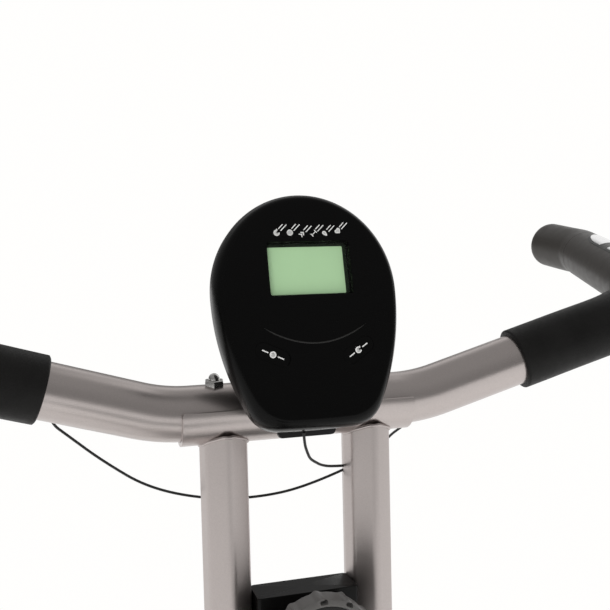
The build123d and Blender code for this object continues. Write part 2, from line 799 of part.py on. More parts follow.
with BuildPart() as tension_knob:
    with BuildSketch(front_plane.offset(knob_standoff)) as knob_outline:
        Circle(knob_radius - 1.2)
        with PolarLocations(knob_radius - 2.4, knob_lobes, start_angle=10):
            Circle(2.4)
        fillet(knob_outline.vertices(), radius=1)
    extrude(amount=knob_thickness)
    fillet(tension_knob.faces().sort_by(Axis.Y)[0].outer_wire().edges(), radius=1.5)
    with BuildSketch(front_plane.offset(knob_standoff + knob_thickness)):
        Circle(knob_radius - 9)
    extrude(amount=-2.5, mode=Mode.SUBTRACT)
    with BuildSketch(front_plane.offset(knob_standoff + knob_thickness - 2.5)):
        Circle(8)
    extrude(amount=2.5)
    with BuildSketch(front_plane.offset(6 + body_gap)):
        Circle(spindle_diameter / 2 + 4)
    extrude(amount=knob_standoff - 6 - body_gap)
    with BuildSketch(front_plane):
        Circle(spindle_diameter / 2 + 0.01)
    extrude(amount=knob_standoff + knob_thickness - 4, mode=Mode.SUBTRACT)
export(tension_knob, "tension_knob")

wheel_drop = (bar_height - wheel_height) / cos(lean)
bridge_low = guard_radius + 4.0
bridge_high = bridge_low + 12.0
caliper_forward = 22.0
pad_level = wheel_rim_radius - wheel_rim_depth
arm_inner = guard_half_width + 3.5
arm_width = 6.0
wheel_level = bar_plane.offset(-wheel_drop)

with BuildPart() as tension_cable:
    with BuildSketch(tension_plane.offset(-box_height + 6)):
        with Locations((0, box_centre_y)):
            Circle(2.5)
    extrude(amount=-(wheel_drop - bridge_high - tension_drop - box_height + 6 - seat_gap))
export(tension_cable, "tension_cable")

with BuildPart() as brake_caliper:
    with BuildSketch(wheel_level.offset(bridge_low)):
        with Locations((0, post_half_depth + seat_gap)):
            Rectangle(post_spacing + 14, 2 * (caliper_forward - post_half_depth), align=upper)
        with Locations((0, caliper_forward)):
            Rectangle(30, caliper_forward - box_centre_y + 8, align=lower)
    extrude(amount=bridge_high - bridge_low)
    for hand in (-1, 1):
        with BuildSketch(wheel_level.offset(pad_level - 7)):
            with Locations((hand * (arm_inner + arm_width / 2), caliper_forward)):
                RectangleRounded(arm_width, 2 * (caliper_forward - post_half_depth) - 3, 1.5)
        extrude(amount=bridge_high - pad_level + 7)
export(brake_caliper, "brake_caliper")

with BuildPart() as brake_pads:
    for hand in (-1, 1):
        pad_face = (hand * (wheel_rim_half_width + body_gap), caliper_forward, pad_level)
        block = Plane(origin=wheel_level.from_local_coords(pad_face),
                      x_dir=(0, cos(lean), -sin(lean)), z_dir=(hand, 0, 0))
        with BuildSketch(block):
            with Locations((0, hand * 1.5)):
                RectangleRounded(27, 8, 2)
        extrude(amount=6)
        with BuildSketch(block):
            Circle(3.5)
        extrude(amount=arm_inner - wheel_rim_half_width - body_gap - 0.02)
export(brake_pads, "brake_pads")

# ---------------------------------------------------------------- fan wheel


def wheel_side(distance):
    """Sketch plane across the wheel axle."""
    return side(distance, wheel_centre)


with BuildPart() as fan_wheel:
    with BuildSketch(wheel_side(-wheel_rim_half_width)):
        Circle(wheel_rim_radius)
        Circle(wheel_rim_radius - wheel_rim_depth, mode=Mode.SUBTRACT)
    extrude(amount=2 * wheel_rim_half_width)
    with BuildSketch(wheel_side(-2)):
        Circle(web_radius)
        with PolarLocations(0, spoke_count):
            Rectangle(wheel_rim_radius - wheel_rim_depth / 2, spoke_width, align=(Align.MIN, Align.CENTER))
        with PolarLocations(web_radius * 0.72, spoke_count, start_angle=180 / spoke_count):
            Circle(8, mode=Mode.SUBTRACT)
    extrude(amount=4)
    with BuildSketch(wheel_side(-20)):
        Circle(hub_radius)
    extrude(amount=40)
    with BuildSketch(wheel_side(-20)):
        Circle(axle_diameter / 2)
    extrude(amount=40, mode=Mode.SUBTRACT)
    round_edges = fan_wheel.edges().filter_by(GeomType.CIRCLE)
    fillet(round_edges.filter_by(lambda e: abs(e.radius - hub_radius) < 0.1), radius=2)
export(fan_wheel, "fan_wheel")

with BuildPart() as fan_blades:
    bow = radians(blade_bow)
    root = wheel_rim_radius + seat_gap
    middle_radius = (root + blade_tip_radius) / 2
    for k in range(blade_count):
        turn = 2 * pi * k / blade_count
        with BuildSketch(wheel_side(-blade_half_width)):
            with BuildLine():
                ThreePointArc(
                    (root * cos(turn), root * sin(turn)),
                    (middle_radius * cos(turn + bow * 0.2), middle_radius * sin(turn + bow * 0.2)),
                    (blade_tip_radius * cos(turn + bow * 0.6), blade_tip_radius * sin(turn + bow * 0.6)),
                )
            trace(line_width=blade_thickness)
            with Locations((root * cos(turn), root * sin(turn))):
                Rectangle(4, 16, rotation=degrees(turn))
            Circle(root, mode=Mode.SUBTRACT)
        extrude(amount=2 * blade_half_width)
export(fan_blades, "fan_blades")

flank_x = post_x + post_half_width
bracket_plate = 4.0
boss_length = bearing_width + 2
bearing_start = flank_x - 1.2 + bracket_plate + boss_length - bearing_width
axle_nut = 5.0
axle_left = -(bearing_start + bearing_width + body_gap + axle_nut)
axle_right = chain_line + tooth_thickness / 2 + axle_nut
with BuildPart() as wheel_axle:
    with BuildSketch(wheel_side(axle_left)):
        Circle(axle_diameter / 2)
    extrude(amount=axle_right - axle_left)
    for start in (axle_left, axle_right - axle_nut):
        with BuildSketch(wheel_side(start)):
            RegularPolygon(11, 6)
        extrude(amount=axle_nut)
export(wheel_axle, "wheel_axle")

with BuildPart() as axle_brackets:
    for hand in (-1, 1):
        inner_face = (hand * (flank_x - 1.2), wheel_y, wheel_height)
        plane = Plane(origin=inner_face, x_dir=(0, cos(lean), -sin(lean)), z_dir=(hand, 0, 0))
        with BuildSketch(plane):
            RectangleRounded(54, 90, 10)
        extrude(amount=bracket_plate + 1)
        with BuildSketch(plane):
            Circle(bearing_outer / 2 + 4.5)
        extrude(amount=bracket_plate + boss_length)
        with BuildSketch(plane.offset(bracket_plate + boss_length - bearing_width)):
            Circle(bearing_outer / 2)
        extrude(amount=bearing_width, mode=Mode.SUBTRACT)
        with BuildSketch(plane.offset(-2)):
            Circle(axle_diameter / 2 + 2)
        extrude(amount=bracket_plate + boss_length, mode=Mode.SUBTRACT)
        with BuildSketch(bar_plane.offset(-(bar_height - wheel_height) / cos(lean) - post_cut_half)):
            with Locations((hand * post_x, 0)):
                add(eight_sided(0, post_nose_radius, post_flank_radius))
        extrude(amount=120, mode=Mode.SUBTRACT)
export(axle_brackets, "axle_brackets")



def ball_bearing(start, bore, outer, width, centre):
    """Deep-groove ball bearing as a grooved ring."""
    with BuildPart() as ring:
        with BuildSketch(side(start, centre)):
            Circle(outer / 2)
            Circle(bore / 2 + running_gap, mode=Mode.SUBTRACT)
        extrude(amount=width)
        for face in (start, start + width - 0.8):
            with BuildSketch(side(face, centre)):
                Circle((outer + bore) / 4 + 2)
                Circle((outer + bore) / 4 - 2, mode=Mode.SUBTRACT)
            extrude(amount=0.8, mode=Mode.SUBTRACT)
    return ring.part



def toothed(teeth, pitch_radius, bore, windows, centre):
    """Flat chain wheel: round blank with a tooth on every pitch, and windows in the web."""
    tip = pitch_radius + chain_pitch * 0.28
    root = pitch_radius - chain_pitch * 0.3
    half_tooth = chain_pitch * 0.28
    with BuildPart() as blank:
        with BuildSketch(side(chain_line - tooth_thickness / 2, centre)):
            Circle(root)
            with PolarLocations(0, teeth):
                Polygon((root - 1, -half_tooth), (tip, -half_tooth * 0.3), (tip, half_tooth * 0.3),
                        (root - 1, half_tooth), align=None)
            Circle(bore, mode=Mode.SUBTRACT)
            if windows:
                with PolarLocations(pitch_radius * 0.62, windows):
                    Circle(pitch_radius * 0.2, mode=Mode.SUBTRACT)
        extrude(amount=tooth_thickness)
    return blank


fan_sprocket = toothed(sprocket_teeth, pitch_of_sprocket, axle_diameter / 2, 0, wheel_centre)
export(fan_sprocket, "fan_sprocket")
chainring = toothed(chainring_teeth, pitch_of_chainring, crank_axle_diameter / 2 + 8, 5, crank_centre)

# ---------------------------------------------------------------- guards

guard_boss_radius = 17.0


def guard(hand):
    """Open drum half: rings and ribs beside the wheel, short bars across its edge to the other half."""
    face = hand * guard_half_width
    with BuildPart() as cage:
        for ring in range(guard_rings):
            radius = guard_radius - (guard_radius - 44) * ring / (guard_rings - 0.35)
            bar = guard_rim_bar if ring == 0 else guard_bar
            with BuildSketch(wheel_side(face)):
                Circle(radius)
                Circle(radius - bar, mode=Mode.SUBTRACT)
            extrude(amount=-hand * bar)
        with BuildSketch(wheel_side(face)):
            with PolarLocations(40, guard_ribs):
                Rectangle(guard_radius - 42, guard_bar, align=(Align.MIN, Align.CENTER))
            Circle(46)
            Circle(guard_boss_radius - 4, mode=Mode.SUBTRACT)
        extrude(amount=-hand * guard_bar)
        with BuildSketch(wheel_side(face)):
            Circle(guard_boss_radius)
            Circle(guard_boss_radius - 4, mode=Mode.SUBTRACT)
        extrude(amount=hand * (post_x - post_half_width - guard_half_width + 4))
        with BuildSketch(wheel_side(face)):
            with PolarLocations(guard_radius - guard_rim_bar, guard_ribs // 2):
                Rectangle(guard_rim_bar, guard_rim_bar, align=(Align.MIN, Align.CENTER))
        extrude(amount=-hand * (guard_half_width - seat_gap / 2))
        with BuildSketch(bar_plane.offset(-(bar_height - wheel_height) / cos(lean) - post_cut_half)):
            with Locations((hand * post_x, 0)):
                add(eight_sided(seat_gap, post_nose_radius, post_flank_radius))
        extrude(amount=120, mode=Mode.SUBTRACT)
    return cage


left_guard = guard(-1)
export(left_guard, "left_guard")
right_guard = guard(1)
export(right_guard, "right_guard")

# ---------------------------------------------------------------- bottom bracket and drive

bb_outer = crank_bearing_outer / 2 + bb_wall
stay_radius = 11.0
with BuildPart() as bottom_bracket:
    with BuildSketch(side(-bb_half_length, crank_centre)):
        Circle(bb_outer)
    extrude(amount=2 * bb_half_length)
    pillar_foot = Vector(0, crank_y + 20, spine_top)
    pillar_top = Vector(0, crank_y, crank_height)
    with BuildSketch(Plane(origin=pillar_foot, x_dir=(1, 0, 0), z_dir=pillar_top - pillar_foot)):
        RectangleRounded(40, 40, 4)
        RectangleRounded(36, 36, 2, mode=Mode.SUBTRACT)
    extrude(amount=(pillar_top - pillar_foot).length)
    for hand in (-1, 1):
        stay_front = Vector(hand * post_x, post_y(wheel_height - stay_drop), wheel_height - stay_drop)
        stay_back = Vector(hand * post_x, crank_y, crank_height)
        with BuildSketch(Plane(origin=stay_back, x_dir=(1, 0, 0), z_dir=stay_front - stay_back)):
            Circle(stay_radius)
            Circle(stay_radius - 2, mode=Mode.SUBTRACT)
        extrude(amount=(stay_front - stay_back).length)
    strut_top = crank_height + strut_rise
    strut_back = Vector(0, seat_tube_y - (strut_top - spine_top) / tan(seat_lean), strut_top)
    strut_front = Vector(0, crank_y, crank_height)
    with BuildSketch(Plane(origin=strut_front, x_dir=(1, 0, 0), z_dir=strut_back - strut_front)):
        Circle(15)
        Circle(13, mode=Mode.SUBTRACT)
    extrude(amount=(strut_back - strut_front).length)
    with BuildSketch(side(-bb_half_length, crank_centre)):
        Circle(crank_bearing_outer / 2)
    extrude(amount=2 * bb_half_length, mode=Mode.SUBTRACT)
    with Locations(Location((0, 0, spine_top))):
        Box(200, 900, 200, align=hanging, mode=Mode.SUBTRACT)
    for hand in (-1, 1):
        with BuildSketch(bar_plane.offset(-wheel_drop - 160)):
            with Locations((hand * post_x, 0)):
                add(eight_sided(seat_gap, post_nose_radius, post_flank_radius))
                with Locations((0, 0)):
                    Rectangle(60, 60, align=upper)
        extrude(amount=260, mode=Mode.SUBTRACT)
    seat_plane = Plane(origin=(0, seat_tube_y, spine_top), x_dir=(1, 0, 0),
                       z_dir=(0, -cos(seat_lean), sin(seat_lean)))
    with BuildSketch(seat_plane.offset(-60)):
        Circle(seat_tube_diameter / 2 + seat_gap)
    extrude(amount=600, mode=Mode.SUBTRACT)
export(bottom_bracket, "bottom_bracket")

with BuildPart() as ball_bearings:
    for start in (bearing_start, -bearing_start - bearing_width):
        add(ball_bearing(start, axle_diameter, bearing_outer, bearing_width, wheel_centre))
    for start in (-bb_half_length, bb_half_length - crank_bearing_width):
        add(ball_bearing(start, crank_axle_diameter, crank_bearing_outer, crank_bearing_width, crank_centre))
export(ball_bearings, "ball_bearings")

axle_half = crank_offset + crank_thickness
with BuildPart() as crank_axle:
    with BuildSketch(side(-axle_half, crank_centre)):
        Circle(crank_axle_diameter / 2)
    extrude(amount=2 * axle_half)
    with BuildSketch(side(chain_line - tooth_thickness / 2, crank_centre)):
        Circle(crank_axle_diameter / 2 + 8)
    extrude(amount=tooth_thickness + 2)
export(crank_axle, "crank_axle")
export(chainring, "chainring")


def crank(hand):
    """Tapered arm with its pedal spindle; the right one points forwards, the left one backwards."""
    far = hand * crank_length
    with BuildPart() as arm:
        with BuildSketch(side(hand * crank_offset, crank_centre)):
            with BuildLine():
                Line((0, crank_width / 2 + 3), (far, crank_width / 2 - 1))
                Line((far, crank_width / 2 - 1), (far, -crank_width / 2 + 1))
                Line((far, -crank_width / 2 + 1), (0, -crank_width / 2 - 3))
                Line((0, -crank_width / 2 - 3), (0, crank_width / 2 + 3))
            make_face()
            Circle(crank_width / 2 + 3)
            with Locations((far, 0)):
                Circle(crank_width / 2 - 1)
            Circle(crank_axle_diameter / 2, mode=Mode.SUBTRACT)
        extrude(amount=hand * crank_thickness)
        outer = arm.faces().sort_by(Axis.X)[-1 if hand > 0 else 0]
        chamfer(outer.outer_wire().edges(), length=1.5)
        with BuildSketch(side(hand * (crank_offset + crank_thickness), (0, crank_y + far, crank_height))):
            Circle(pedal_spindle_diameter / 2)
        extrude(amount=hand * (pedal_width + 3))
        with BuildSketch(side(hand * (crank_offset + crank_thickness), (0, crank_y + far, crank_height))):
            Circle(pedal_spindle_diameter / 2 + 3)
        extrude(amount=hand * 2.5)
    return arm


left_crank = crank(-1)
export(left_crank, "left_crank")
right_crank = crank(1)
export(right_crank, "right_crank")

pedal_inner = crank_offset + crank_thickness + 2.5 + body_gap


def pedal(hand):
    """Ribbed platform on its spindle with a strap over the foot."""
    centre = (0, crank_y + hand * crank_length, crank_height)
    with BuildPart() as platform:
        pedal_x = hand * (pedal_inner + pedal_width / 2)
        with BuildSketch(Plane(origin=(pedal_x, centre[1], crank_height - pedal_height / 2))):
            RectangleRounded(pedal_width, pedal_depth, 12)
            for row in (-1, 1):
                for column in range(3):
                    with Locations(((column - 1) * 25, row * 28)):
                        RectangleRounded(18, 24, 3, mode=Mode.SUBTRACT)
        extrude(amount=pedal_height)
        with BuildSketch(Plane(origin=(pedal_x, centre[1] - strap_width / 2, crank_height),
                               x_dir=(1, 0, 0), z_dir=(0, 1, 0))):
            with Locations((0, 0)):
                Ellipse(pedal_width / 2, strap_arch + strap_thickness)
                Ellipse(pedal_width / 2 - strap_thickness, strap_arch, mode=Mode.SUBTRACT)
                Rectangle(2 * pedal_width, 3 * strap_arch, align=upper, mode=Mode.SUBTRACT)
        extrude(amount=strap_width)
        with BuildSketch(side(hand * (pedal_inner - 1), centre)):
            Circle(pedal_spindle_diameter / 2 + running_gap)
        extrude(amount=hand * (pedal_width + 6), mode=Mode.SUBTRACT)
    return platform


left_pedal = pedal(-1)
export(left_pedal, "left_pedal")
right_pedal = pedal(1)
export(right_pedal, "right_pedal")

chain_plate = 1.2
chain_gap = 0.5
chain_half_height = 4.0


def drive_loop(grow):
    """Racetrack round both chain wheels at their pitch radii."""
    with BuildSketch(mode=Mode.PRIVATE) as outline:
        with Locations((crank_y, crank_height)):
            Circle(pitch_of_chainring + grow)
        with Locations((wheel_y, wheel_height)):
            Circle(pitch_of_sprocket + grow)
        make_hull()
    return outline.sketch


drive_span = sqrt((wheel_y - crank_y) ** 2 + (wheel_height - crank_height) ** 2)
drive_slope = atan2(wheel_height - crank_height, wheel_y - crank_y)
run_slope = asin((pitch_of_chainring - pitch_of_sprocket) / drive_span)
run_length = drive_span * cos(run_slope)
with BuildPart() as drive_chain:
    plate_gap = tooth_thickness / 2 + chain_gap
    for start in (chain_line - plate_gap - chain_plate, chain_line + plate_gap):
        with BuildSketch(side(start)):
            add(drive_loop(chain_half_height))
            add(drive_loop(-chain_half_height), mode=Mode.SUBTRACT)
        extrude(amount=chain_plate)
    for upper in (-1, 1):
        angle = drive_slope + upper * (pi / 2 - run_slope)
        start_y = crank_y + pitch_of_chainring * cos(angle)
        start_z = crank_height + pitch_of_chainring * sin(angle)
        along = drive_slope - upper * run_slope
        links = int(run_length / chain_pitch) - 3
        for link in range(3, links, 2):
            travel = link * chain_pitch
            with BuildSketch(side(chain_line - tooth_thickness / 2 - chain_gap - 0.2,
                                  (0, start_y + travel * cos(along), start_z + travel * sin(along)))):
                Circle(2.6)
            extrude(amount=tooth_thickness + 2 * chain_gap + 0.4)
export(drive_chain, "drive_chain")

case_in = bb_half_length + seat_gap
with BuildPart() as chain_case:
    for start, hand in ((case_in, 1), (case_in + case_width, -1)):
        reach = case_width / 2 - seat_gap / 2
        with BuildSketch(side(start)):
            add(drive_loop(chain_half_height + case_margin + case_wall))
        extrude(amount=hand * reach)
        with BuildSketch(side(start + hand * case_wall)):
            add(drive_loop(chain_half_height + case_margin))
        extrude(amount=hand * reach, mode=Mode.SUBTRACT)
    with BuildSketch(side(case_in - 1)):
        with Locations((crank_y, crank_height)):
            Circle(crank_axle_diameter / 2 + 9)
        with Locations((wheel_y, wheel_height)):
            Circle(axle_diameter / 2 + 2)
    extrude(amount=case_width / 2, mode=Mode.SUBTRACT)
    with BuildSketch(side(case_in + case_width / 2)):
        with Locations((crank_y, crank_height)):
            Circle(crank_axle_diameter / 2 + 3)
    extrude(amount=case_width, mode=Mode.SUBTRACT)
    with BuildSketch(side(bearing_start - 4)):
        with Locations((wheel_y, wheel_height)):
            Circle(bearing_outer / 2 + 4.5 + seat_gap)
    extrude(amount=bearing_width + 4.2, mode=Mode.SUBTRACT)
export(chain_case, "chain_case")

# ---------------------------------------------------------------- seat

seat_tube_length = (seat_tube_top - spine_top) / sin(seat_lean)
top_plane = seat_plane.offset(seat_tube_length)
sleeve_radius = seat_tube_diameter / 2 - seat_tube_wall
knob_level = -34.0

with BuildPart() as seat_tube:
    with BuildSketch(seat_plane.offset(-30)):
        Circle(seat_tube_diameter / 2)
        Circle(sleeve_radius, mode=Mode.SUBTRACT)
    extrude(amount=seat_tube_length + 30)
    boss = Plane(
    origin=top_plane.from_local_coords((0, 0, knob_level)),
    x_dir=(1, 0, 0), z_dir=(0, sin(seat_lean), cos(seat_lean)),
)
    with BuildSketch(boss.offset(sleeve_radius + 0.6)):
        Circle(11)
    extrude(amount=15)
    with BuildSketch(boss.offset(sleeve_radius - 1)):
        Circle(5 + running_gap)
    extrude(amount=25, mode=Mode.SUBTRACT)
    with Locations(Location((0, 0, spine_top))):
        Box(200, 900, 200, align=hanging, mode=Mode.SUBTRACT)
export(seat_tube, "seat_tube")

post_radius_seat = seat_post_diameter / 2
sleeve_length_seat = 110.0
with BuildPart() as seat_sleeve:
    with BuildSketch(top_plane.offset(-sleeve_length_seat)):
        Circle(sleeve_radius - seat_gap)
        Circle(post_radius_seat + running_gap, mode=Mode.SUBTRACT)
    extrude(amount=sleeve_length_seat + 4)
    with BuildSketch(top_plane):
        Circle(seat_tube_diameter / 2 + 2)
        Circle(post_radius_seat + running_gap, mode=Mode.SUBTRACT)
    extrude(amount=6)
    widest = seat_sleeve.edges().filter_by(GeomType.CIRCLE).group_by(SortBy.RADIUS)[-1]
    fillet(widest.sort_by(Axis.Z)[-1], radius=2)
    with BuildSketch(boss.offset(post_radius_seat - 3)):
        Circle(5.5)
    extrude(amount=20, mode=Mode.SUBTRACT)
export(seat_sleeve, "seat_sleeve")

cushion_bottom = saddle_height - saddle_thickness
stub_top = cushion_bottom - saddle_shell_thickness
stub_length = 46.0
stub_radius = 11.0
post_top_s = (stub_top - seat_tube_top) / sin(seat_lean)
saddle_y = seat_tube_y - (stub_top - spine_top) / tan(seat_lean)
with BuildPart() as seat_post:
    with BuildSketch(top_plane.offset(-seat_post_insert)):
        Circle(post_radius_seat)
    extrude(amount=seat_post_insert + post_top_s - stub_length - 8)
    with BuildSketch(top_plane.offset(post_top_s - stub_length - 8)):
        Circle(post_radius_seat)
    with BuildSketch(top_plane.offset(post_top_s - stub_length)):
        Circle(stub_radius)
    loft()
    with BuildSketch(top_plane.offset(post_top_s - stub_length)):
        Circle(stub_radius)
    extrude(amount=stub_length - 10)
    with BuildSketch(top_plane.offset(-seat_post_insert)):
        Circle(post_radius_seat - seat_post_wall)
    extrude(amount=seat_post_insert + post_top_s - stub_length - 12, mode=Mode.SUBTRACT)
export(seat_post, "seat_post")

with BuildPart() as saddle_clamp:
    with BuildSketch(top_plane.offset(post_top_s - 34)):
        Circle(stub_radius + 4)
        Circle(stub_radius + seat_gap, mode=Mode.SUBTRACT)
    extrude(amount=60)
    with Locations(Location((0, 0, stub_top - 4))):
        Box(200, 1400, 400, align=standing, mode=Mode.SUBTRACT)
    with BuildSketch(Plane.XY.offset(stub_top - 4)):
        with Locations((0, saddle_y)):
            RectangleRounded(70, 90, 8)
            with GridLocations(48, 64, 2, 2):
                Circle(3.2, mode=Mode.SUBTRACT)
    extrude(amount=4)
    with BuildSketch(Plane(origin=(-40, saddle_y, stub_top - 22), x_dir=(0, 1, 0), z_dir=(1, 0, 0))):
        with Locations((2.2, 0)):
            Circle(4)
    extrude(amount=80)
    with BuildSketch(top_plane.offset(post_top_s - 60)):
        Circle(stub_radius + seat_gap)
    extrude(amount=50, mode=Mode.SUBTRACT)
export(saddle_clamp, "saddle_clamp")


def saddle_outline(inset):
    """Pear outline of the saddle: two rear lobes and a nose."""
    with BuildSketch(mode=Mode.PRIVATE) as outline:
        wing = saddle_half_width - saddle_rear_radius
        rear = saddle_y - saddle_length / 2 + saddle_rear_radius
        nose = saddle_y + saddle_length / 2 - saddle_nose_radius
        with Locations((wing, rear), (-wing, rear)):
            Circle(saddle_rear_radius - inset)
        with Locations((0, nose)):
            Circle(saddle_nose_radius - inset)
        make_hull()
    return outline.sketch


with BuildPart() as saddle_shell:
    with BuildSketch(Plane.XY.offset(stub_top)):
        add(saddle_outline(20))
    with BuildSketch(Plane.XY.offset(stub_top + saddle_shell_thickness)):
        add(saddle_outline(4))
    loft()
    with BuildSketch(Plane.XY.offset(stub_top + 3)):
        add(saddle_outline(26))
    extrude(amount=saddle_shell_thickness - 5.5, mode=Mode.SUBTRACT)
export(saddle_shell, "saddle_shell")

with BuildPart() as saddle_cushion:
    with BuildSketch(Plane.XY.offset(cushion_bottom)):
        add(saddle_outline(0))
    extrude(amount=saddle_thickness)
    fillet(saddle_cushion.faces().sort_by(Axis.Z)[-1].edges(), radius=24)
export(saddle_cushion, "saddle_cushion")

with BuildPart() as lock_knob:
    with BuildSketch(boss.offset(post_radius_seat + body_gap)):
        Circle(5)
    extrude(amount=32)
    with BuildSketch(boss.offset(sleeve_radius + 0.6 + 15 + body_gap + 1)):
        Circle(lock_knob_radius - 5)
        with PolarLocations(lock_knob_radius - 6, 6, start_angle=90):
            Circle(6)
    extrude(amount=16)
    knob_ends = lock_knob.faces().filter_by(Plane(origin=(0, 0, 0), z_dir=boss.z_dir))
    fillet(knob_ends.sort_by(Axis.Y)[-1].edges(), radius=2)
export(lock_knob, "lock_knob")

# ---------------------------------------------------------------- wires


def bar_point(across, forward, up):
    """A point given from the middle of the bar."""
    return bar_middle + Vector(across, forward, up)


wire_routes = {
    "console_wire": [
        (-5.5, -37.0, -5.5), (-4.6, -35.5, -12.5), (-2.0, -32.0, -18.5), (2.2, -27.0, -24.5),
        (8.0, -20.0, -30.3), (20.0, -10.5, -36.6), (30.65, -4.0, -38.8),
    ],
    "left_pulse_wire": [
        (-140.0, 7.0, 8.3), (-138.8, 9.8, -1.8), (-129.5, 12.3, -10.8), (-111.0, 14.5, -28.0),
        (-84.0, 16.0, -48.3), (-46.0, 15.5, -59.0), (-12.0, 10.0, -57.8), (12.4, 4.0, -50.8),
        (30.75, -2.0, -41.0),
    ],
    "right_pulse_wire": [
        (56.3, -1.0, -27.0), (63.0, 5.5, -25.0), (72.0, 12.5, -23.5), (88.0, 20.0, -17.5),
        (106.0, 23.0, -8.0), (122.0, 20.5, -0.5), (132.0, 13.5, 4.0), (137.0, 7.2, 7.4),
    ],
}


def turn_radii(points):
    """Largest tangent arc at each corner of a route: 0.45 of the shorter run."""
    radii = []
    for before, corner, after in zip(points, points[1:], points[2:]):
        run_in = corner - before
        run_out = after - corner
        half_turn = radians(run_in.get_angle(run_out)) / 2
        radii.append(0.45 * min(run_in.length, run_out.length) / tan(half_turn))
    return radii


def wire(name):
    """Round wire along its route: straight runs joined by tangent arcs."""
    points = [bar_point(*place) for place in wire_routes[name]]
    radii = turn_radii(points)
    with BuildPart() as strand:
        with BuildLine() as run:
            FilletPolyline(*points, radius=radii)
        with BuildSketch(Plane(origin=run.line @ 0, z_dir=run.line % 0)):
            Circle(wire_diameter / 2)
        sweep(path=run.line)
    length = run.wire().length
    expected = pi * wire_diameter**2 / 4 * length
    print(name, "length", round(length, 1), "radii", [round(r, 1) for r in radii],
          "volume ratio", round(strand.part.volume / expected, 3))
    return strand


console_wire = wire("console_wire")
export(console_wire, "console_wire")
left_pulse_wire = wire("left_pulse_wire")
export(left_pulse_wire, "left_pulse_wire")
right_pulse_wire = wire("right_pulse_wire")
export(right_pulse_wire, "right_pulse_wire")
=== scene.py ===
import json
from math import asin, atan2, cos, pi, radians, sin, tan

import bpy
import numpy as np
from bpy.props import FloatProperty, FloatVectorProperty, IntProperty, PointerProperty
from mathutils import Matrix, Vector


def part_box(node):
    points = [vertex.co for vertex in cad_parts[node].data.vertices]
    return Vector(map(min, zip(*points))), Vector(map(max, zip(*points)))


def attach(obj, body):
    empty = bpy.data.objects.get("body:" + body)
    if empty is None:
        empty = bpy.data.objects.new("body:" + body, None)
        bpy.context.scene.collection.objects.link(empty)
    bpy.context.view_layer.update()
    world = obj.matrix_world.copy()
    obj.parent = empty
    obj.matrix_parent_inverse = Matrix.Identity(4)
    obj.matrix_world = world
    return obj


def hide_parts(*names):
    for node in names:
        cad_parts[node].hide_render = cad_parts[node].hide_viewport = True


bl_info = {
    "name": "Air bike dressing",
    "version": (1, 0, 0),
    "blender": (4, 5, 0),
    "location": "View3D > Sidebar > Air bike",
    "description": "Gives the packed air bike its smooth surfaces, soft pieces, finishes, wires and studio",
    "category": "Object",
}

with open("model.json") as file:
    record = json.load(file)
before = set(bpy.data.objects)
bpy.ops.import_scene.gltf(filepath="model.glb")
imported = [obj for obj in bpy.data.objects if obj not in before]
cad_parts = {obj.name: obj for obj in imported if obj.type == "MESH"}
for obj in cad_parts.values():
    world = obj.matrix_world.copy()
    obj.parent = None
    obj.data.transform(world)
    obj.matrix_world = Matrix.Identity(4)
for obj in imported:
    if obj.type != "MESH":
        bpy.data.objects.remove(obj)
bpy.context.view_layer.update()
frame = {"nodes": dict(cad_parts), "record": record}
MM = 0.001
UP = np.array([0.0, 0.0, 1.0])
BAR_MIDDLE = np.array([0.0, 0.250, 1.130])


# ------------------------------------------------------------------ sizes and colours a user may change
def size(name, description, millimetres):
    """A length that a user may change."""
    return FloatProperty(name=name, description=description, default=millimetres * MM, unit="LENGTH")


def slope(name, description, degrees):
    """An angle that a user may change."""
    return FloatProperty(name=name, description=description, default=radians(degrees), subtype="ANGLE")


def paint(name, description, *colour):
    """A colour that a user may change, as linear red, green and blue."""
    return FloatVectorProperty(name=name, description=description, default=colour, subtype="COLOR", min=0, max=1)


class BikeSizes(bpy.types.PropertyGroup):
    """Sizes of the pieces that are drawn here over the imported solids."""

    bar_diameter: size("Bar diameter", "Steel tube of the handlebar", 31.8)
    bar_straight: size("Bar straight", "Middle of the bar to its first bend", 78)
    bar_rise: slope("Bar rise", "Slope of the arms", 17.5)
    bar_sweep: slope("Bar sweep", "Turn of the arms seen from above", -4.0)
    bar_arm: size("Bar arm", "First bend to the horn bend", 179)
    bar_bend: size("Bar bend", "Radius of the first bend", 95)
    horn_bend: size("Horn bend", "Radius of the horn bend", 66)
    tip_bend: size("Tip bend", "Radius of the slight bend near the tip", 30)
    foam_diameter: size("Foam diameter", "Foam over the bar", 38)
    foam_start: size("Foam start", "Inner end of the foam, across from the middle", 142)
    sleeve_back: size("Horn sleeve", "Soft end, from the slight bend back to the sensor", 16)
    housing_length: size("Sensor length", "Pulse sensor along the horn", 115)
    cradle_length: size("Cradle length", "Half shell under the bar", 137.5)
    post_half_width: size("Post half width", "Post axis to its side corner", 14.1)
    post_half_depth: size("Post half depth", "Post axis to its front corner", 18.4)
    post_spacing: size("Post spacing", "Between the axes of the two posts", 87)
    post_lean: slope("Post lean", "Forward lean of the posts", 4.8)
    console_tilt: slope("Console tilt", "Backward lean of the console", 18.9)
    console_width: size("Console width", "Widest part of the console", 105)
    knob_lobes: IntProperty(name="Knob lobes", description="Finger ridges round the tension knob", default=12, min=3)
    wire_diameter: size("Wire diameter", "Insulated lead of a sensor", 1.6)


